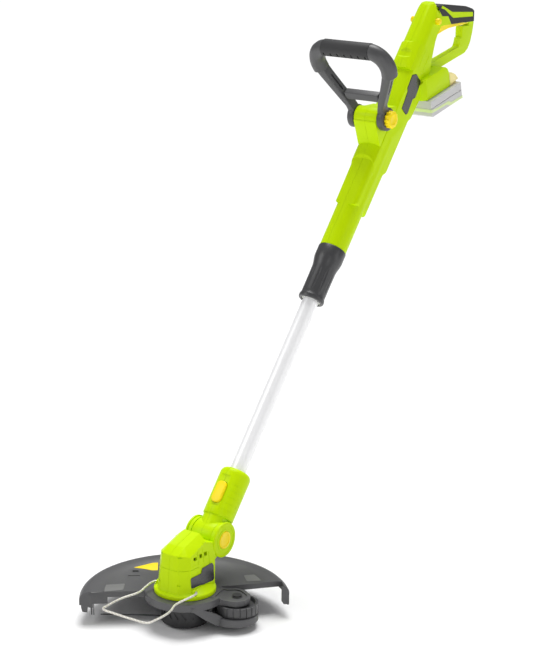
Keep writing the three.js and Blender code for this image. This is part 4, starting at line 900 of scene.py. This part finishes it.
barrel = moved(turned([
    (0, 488), (20.9, 488), (21.5, 488.8), (21.5, 690), (0, 690),
], 96), POLE)
upper_barrel = moved(side_slab([(-20.5, 560), (21.5, 560), (22.1, 646), (-21.8, 646)], 20.6, 8, 6), POLE)
spine = side_slab([
    (-12, 622), (12, 622), (18, 636), (22.6, 643), (22.6, 738), (27, 746), (30, 800), (24, 836), (17, 851),
    (11, 866), (6, 880), (4, 892), (5.5, 924), (-2, 936), (-16, 937.5), (-23, 934.5), (-28.5, 924),
    (-29, 857), (-32.5, 850), (-32, 839), (-29.5, 836), (-29, 826), (-31.5, 823), (-28, 800), (-25, 770),
    (-25, 700), (-28.5, 672), (-28, 652),
], 21, 1.4, 3, 1.2)
lower_crown = flat_slab(both_sides([
    (-23, 60), (-23, -16), (-18.5, -21.5), (-10, -24.3), (0, -25.2),
]), 600, 812, 0, 3)
hump_crown = flat_slab(both_sides([
    (-23, 60), (-23, -14), (-18.5, -25), (-9, -30.5), (0, -33),
]), 806, 853.5, 0, 3)
head_crown = flat_slab(both_sides([
    (-20.4, 60), (-20.4, -18), (-16.5, -22.8), (-9, -27.4), (0, -29),
]), 849, 945, 0, 2)
crown = joined(lower_crown, hump_crown, head_crown)
arch = flat_slab([(-60, 590), (60, 590), (60, 896), (21.5, 896)] + [
    (20.7 * cos(radians(step)), 902 + 34.5 * sin(radians(step))) for step in range(6, 175, 8)
] + [(-21.5, 896), (-60, 896)], -80, 80)
crown = combine(crown, moved(arch, Matrix.Rotation(pi / 2, 4, "X")), "INTERSECT")
spine = moved(combine(spine, crown, "INTERSECT"), POLE)
pedestal = moved(side_slab([
    (-20, 664), (-40, 676), (-58, 686), (-56, 712), (-24, 738), (-20, 738),
], 20.4, 1.5, 3, 2), POLE)
pivot_boss = across_bar(17, -20.8, 20.8, *PIVOT, 0.6)
housing = joined(barrel, upper_barrel, spine, pedestal, pivot_boss)

ring_outline = [
    (600, 726), (640, 738.5), (719, 755.3), (738, 759), (748, 765), (756, 776), (762, 792), (765.5, 808),
    (763, 822), (751, 832), (729, 838), (697, 842), (668, 845.5), (640, 846), (622, 835), (608, 790),
    (598, 750),
]
ring_opening = [
    (606, 748), (716.5, 771), (721, 776.5), (728, 804), (728, 812), (660, 813), (642, 812), (622, 806),
    (613, 778),
]
rear_grip = side_slab(ring_outline, REAR_HALF, 5.5, 5, 3)
rear_grip = combine(rear_grip, box((-40, 560, 811), (40, 800, 900)), "INTERSECT")
grip_end = flat_slab([(-13.5, 590), (13.5, 590)] + [
    (12.7 * cos(radians(step)), 748 + 16.6 * sin(radians(step))) for step in range(0, 181, 6)
], 700, 900)
rear_grip = combine(rear_grip, grip_end, "INTERSECT")
rear_bar = side_slab(ring_outline, 6.2, 2.0, 4, 3)
rear_bar = combine(rear_bar, box((-40, 560, 700), (40, 764.2, 812)), "INTERSECT")
rear_ring = cut(joined(rear_bar, rear_grip), side_slab(ring_opening, 30, 0, 1, 3))
housing = joined(housing, rear_ring)

foot = side_slab([
    (-11, 0), (65, 0), (65, 24.5), (62, 31), (56, 35.5), (-11, 35.5),
], 30, 1.5, 3, 1)
foot = combine(foot, flat_slab([
    (-19, -12), (19, -12), (31, -4), (31, 80), (-31, 80), (-31, -4),
], -1, 36.5), "INTERSECT")
housing = joined(housing, moved(foot, PACK))

housing = cut(housing, moved(drum(18.5, 480, 772, 64), POLE))
chamber = moved(side_slab([
    (-21.5, 730), (19, 730), (24, 748), (26.5, 800), (20, 834), (13, 848), (5.5, 864), (0, 876),
    (-4, 890), (-4, 922), (-9, 932), (-16, 932), (-21, 928), (-21.5, 912),
], 16.5), POLE)
housing = cut(housing, chamber)
foot_rooms = (
    ((-25, -8, -1), (25, 62, 16)), ((-16, -7, 3), (16, 51, 30.5)), ((-25, 40, -1), (25, 70, 9.6)),
)
for low, high in foot_rooms:
    housing = cut(housing, moved(box(low, high), PACK))
housing = cut(housing, box((-7.4, 616, 786), (7.4, 727, 826.5)), box((-7.4, 720, 804), (7.4, 748, 826.5)))
housing = cut(housing, box((-8, 628, 826), (8, 700, 838.2)))
housing = cut(housing, moved(across_bar(5.5, -30, 30, *LOCK_OFF, 0, 32), POLE))
housing = cut(housing, across_bar(3.3, -30, 30, *PIVOT, 0, 24))
housing = cut(housing, across_bar(2.3, -9.5, 9.5, *TRIGGER_PIN, 0, 24))
plate_outline = [
    (-17, 800), (-8, 807.5), (10.5, 806), (12.2, 801), (14.6, 777.5), (9.6, 772), (12, 747.5), (8.5, 742.5),
    (-7.8, 743.8), (-11.2, 772.2), (-15.4, 777),
]
pocket = side_slab([(1.05 * y, 774 + 1.02 * (s - 774)) for y, s in plate_outline], 26, 0, 1, 0.8)
pocket = combine(pocket, box((19.8, -100, 0), (30, 100, 1200)), "INTERSECT")
housing = cut(housing, moved(pocket, POLE))
for back in (-9, 5):
    low, high = back - 0.8, back + 0.8
    nib = side_slab([(low, 819), (high, 819), (high, 854), (low, 854)], 21.4, 0.4, 2)
    housing = joined(housing, moved(nib, POLE))

zone = side_slab([
    (682, 811.4), (790, 811.4), (790, 830), (770, 860), (632, 860), (639, 842), (647.5, 828.5), (671, 826.4),
], 40)
stripe = [(652, 845), (683, 832.5), (749, 827), (750, 819.5), (687, 822.5), (660, 838), (648, 841)]
stripes = cut(side_slab(stripe, 40, 0, 1, 1.5), side_slab(stripe, REAR_HALF - 2.8, 0, 1, 1.5))
outer = [(699 + 1.006 * (y - 699), 833 + 1.04 * (z - 833)) for y, z in stripe]
inner = [(699 + 1.02 * (y - 699), 833 + 1.1 * (z - 833)) for y, z in stripe]
wider = cut(side_slab(outer, 41, 0, 1, 1.5), side_slab(inner, REAR_HALF - 3.0, 0, 1, 1.5))
core_outline = [
    (640, 815.9), (734, 815.2), (752, 806), (762, 809), (759.5, 820.5), (749, 829.4), (728.6, 835.6),
    (697, 839.6), (660, 843), (636, 843.2), (634, 830),
]
core = side_slab(core_outline, REAR_HALF - 2.4, 1.5)
roomy = side_slab([
    (640, 815.6), (734, 814.9), (752, 805.7), (762.3, 809), (759.8, 820.8), (749.2, 829.7), (728.7, 835.9),
    (697, 839.9), (660, 843.3), (636, 843.5), (633.7, 830),
], REAR_HALF - 2.1, 1.5)
cover_zone = cut(zone.copy(), stripes)
skin = combine(housing.copy(), zone, "INTERSECT")
skin = cut(skin, roomy, wider)
kept_core = combine(housing.copy(), core, "INTERSECT")
housing = joined(cut(housing, cover_zone), kept_core)
halves(
    "housing", housing, UPRIGHT, lime, "handle", "lime", "handle_half_left", "handle_half_right", crease=26,
)

grip_rubber = grained("grip_rubber", (0.03, 0.03, 0.031), 0.62, relief=0.6, scale=1000.0, tone=0.15)
finished("rear_grip_cover", skin, UPRIGHT, grip_rubber, "handle", "grip_rubber", "rear_grip_skin")
side_badge = moved(side_slab(plate_outline, 0.68, 0.35, 3, 0.8), POLE @ Matrix.Translation((20.8, 0, 0)))
finished("side_badge", side_badge, UPRIGHT, badge_black, "handle", "black", "side_plate", crease=10)


# ---- The trigger and the switch ----
# A yellow bar in the underside of the grip, curved for two fingers. It turns on a steel pin and
# presses a snap switch against a coil spring.

lever = side_slab([
    (645, 797.4), (656, 800.2), (668, 803), (684, 805.6), (703, 806.5), (722, 807), (744, 808.4), (747, 811),
    (747, 817), (744, 819), (700, 817.6), (658, 819.4), (645, 817),
], 6.8, 1.6, 4, 1.0)
lever = cut(lever, across_bar(2.3, -20, 20, *TRIGGER_PIN, 0, 24))
finished("trigger_lever", lever, UPRIGHT, yellow, "trigger", "yellow", "trigger")
dress(black_plastic, "terminal_block", "power_switch")
dress(steel, "trigger_pin", "trigger_spring")


# ---- The lock-off button ----
# A yellow bar, moulded in one piece with a collar at its middle. It lies across the top
# of the housing, held by the two halves, and frees the trigger when it is pushed across.

lock_off = joined(across_bar(5.2, -27, 27, *LOCK_OFF, 1.6, 48), across_bar(6.8, -4, 4, *LOCK_OFF, 0.4, 48))
finished("lock_off", lock_off, POLE, yellow, "lock_off", "yellow", "lock_off_button")


# ---- The battery pack ----
# Five lithium cells in a two-part pale grey case, with a thin pale green stripe round its lower half.
# A pale yellow latch holds it in the foot's rails and is pressed to slide the pack out backwards.

pack_grey = grained("pack_grey", (0.60, 0.60, 0.595), 0.42, relief=0.25, scale=1400.0)
cell_film = grained("cell_film", (0.08, 0.21, 0.4), 0.35, relief=0.05, tone=0.1, coat=0.4)
latch_yellow = grained("latch_yellow", (0.98, 0.85, 0.36), 0.34, relief=0.1, scale=1200.0)
dress(pack_grey, "pack_case_lower", "pack_case_upper")
dress(cell_film, *(f"pack_cell_{number}" for number in range(1, 6)))
dress(latch_yellow, "pack_latch")
stripe_lime = grained("stripe_lime", (0.72, 0.86, 0.40), 0.4, relief=0.1, scale=1200.0)
pack_stripe = cut(side_slab([
    (-7.25, -14.3), (-1.7, -15.4), (13.5, -16.7), (45.7, -17.8), (51.1, -22.2), (88.25, -23.6),
    (88.25, -27.6), (49.8, -26.8), (38.5, -21.6), (-2.7, -20.2), (-7.25, -19.6),
], 37.25), box((-37.05, -7.05, -40), (37.05, 88.05, 0)))
finished("pack_stripe", pack_stripe, PACK, stripe_lime, "battery", "lime")


# ---- The front handle ----
# A loop of glass-filled nylon: flat slotted straps below, a round bar above with a soft pad on it.
# Its two eyes turn on a bolt through the ridge, clamped by a yellow knob on the right.

LOOP = Matrix.Translation((0, *PIVOT)) @ Matrix.Rotation(radians(31.5), 4, "X")
BAR_HEIGHT = 131.8
strap_outline = [
    (32.9, -6), (32.9, 14), (34, 24), (38, 31), (45.5, 45), (51.5, 56), (58, 68.5), (63, 78),
    (69.5, 91.5), (73, 102), (70, 108), (54, 106), (55, 98), (51.5, 88), (47, 77), (42, 66), (36.5, 54),
    (30, 41), (25, 27), (21.9, 18), (21.9, -6),
]
loop_side = [
    (62.6, 0, 90), (64.2, 0, 103), (61, 0, 116.5), (53, 0, 126.5), (41, 0, BAR_HEIGHT), (20, 0, BAR_HEIGHT),
]
loop = bent("loop", loop_side + [(-x, y, z) for x, y, z in reversed(loop_side)], 12.6, 12)
for way in (-1, 1):
    outline = [(way * x, up) for x, up in strap_outline]
    strap = moved(flat_slab(outline, -8.5, 8.5, 2.0, 2.0, 4), Matrix.Rotation(pi / 2, 4, "X"))
    loop = joined(loop, strap)
loop = joined(loop, box((-31, -6, 37), (31, 6, 50), 1.6, 4))
loop = cut(loop, box((-90, -1.7, 51), (90, 1.7, 79), 0.4))
bare = cut(across_bar(30, -43.3, 43.3, 0, BAR_HEIGHT), across_bar(10.4, -60, 60, 0, BAR_HEIGHT, 0, 64))
loop = moved(cut(loop, bare), LOOP)
for way in (-1, 1):
    near, far = sorted((way * 21.9, way * 32.9))
    loop = joined(loop, across_bar(18.5, near, far, *PIVOT, 1.6))
loop = cut(loop, across_bar(3.3, -60, 60, *PIVOT, 0, 24))
loop_nylon = grained("loop_nylon", (0.072, 0.072, 0.074), 0.4, relief=0.35, scale=1400.0, tone=0.1)
finished("front_loop", loop, UPRIGHT, loop_nylon, "front_handle", "charcoal", "front_handle")
pad = cut(across_bar(13.2, -43, 43, 0, BAR_HEIGHT, 1.4), across_bar(10.7, -60, 60, 0, BAR_HEIGHT))
for number in range(-3, 4):
    middle = number * 12.6
    pad = cut(pad, box((middle - 1.2, -20, 111.8), (middle + 1.2, -6, BAR_HEIGHT), 0.3))
finished("grip_pad", pad, LOOP, grip_rubber, "front_handle", "grip_rubber", "front_grip_pad")

knob = across_bar(12.4, 33.2, 42.5, *PIVOT, 1.2)
lobes = bmesh.new()
for spoke in around(12, "X"):
    hub = Matrix.Translation((33.2, *PIVOT)) @ spoke
    place = hub @ Matrix.Translation((4.4, 12.1, 0)) @ Matrix.Rotation(pi / 2, 4, "Y")
    bmesh.ops.create_cone(
        lobes, cap_ends=True, segments=24, radius1=1.8, radius2=1.8, depth=8.2, matrix=place
    )
rims = [edge for edge in lobes.edges if len(edge.link_faces) == 2 and edge.calc_face_angle(0) > 1]
soften(lobes, rims, 0.6, 3, clamp=False)
knob = joined(knob, lobes)
knob = cut(knob, across_bar(3.3, 30, 39.5, *PIVOT, 0, 24), across_bar(7.4, 41.8, 60, *PIVOT, 0.3, 48))
finished("clamp_knob", knob, UPRIGHT, yellow, "knob", "yellow", "handle_knob")
dress(steel, "handle_bolt", "handle_nut")


low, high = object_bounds()
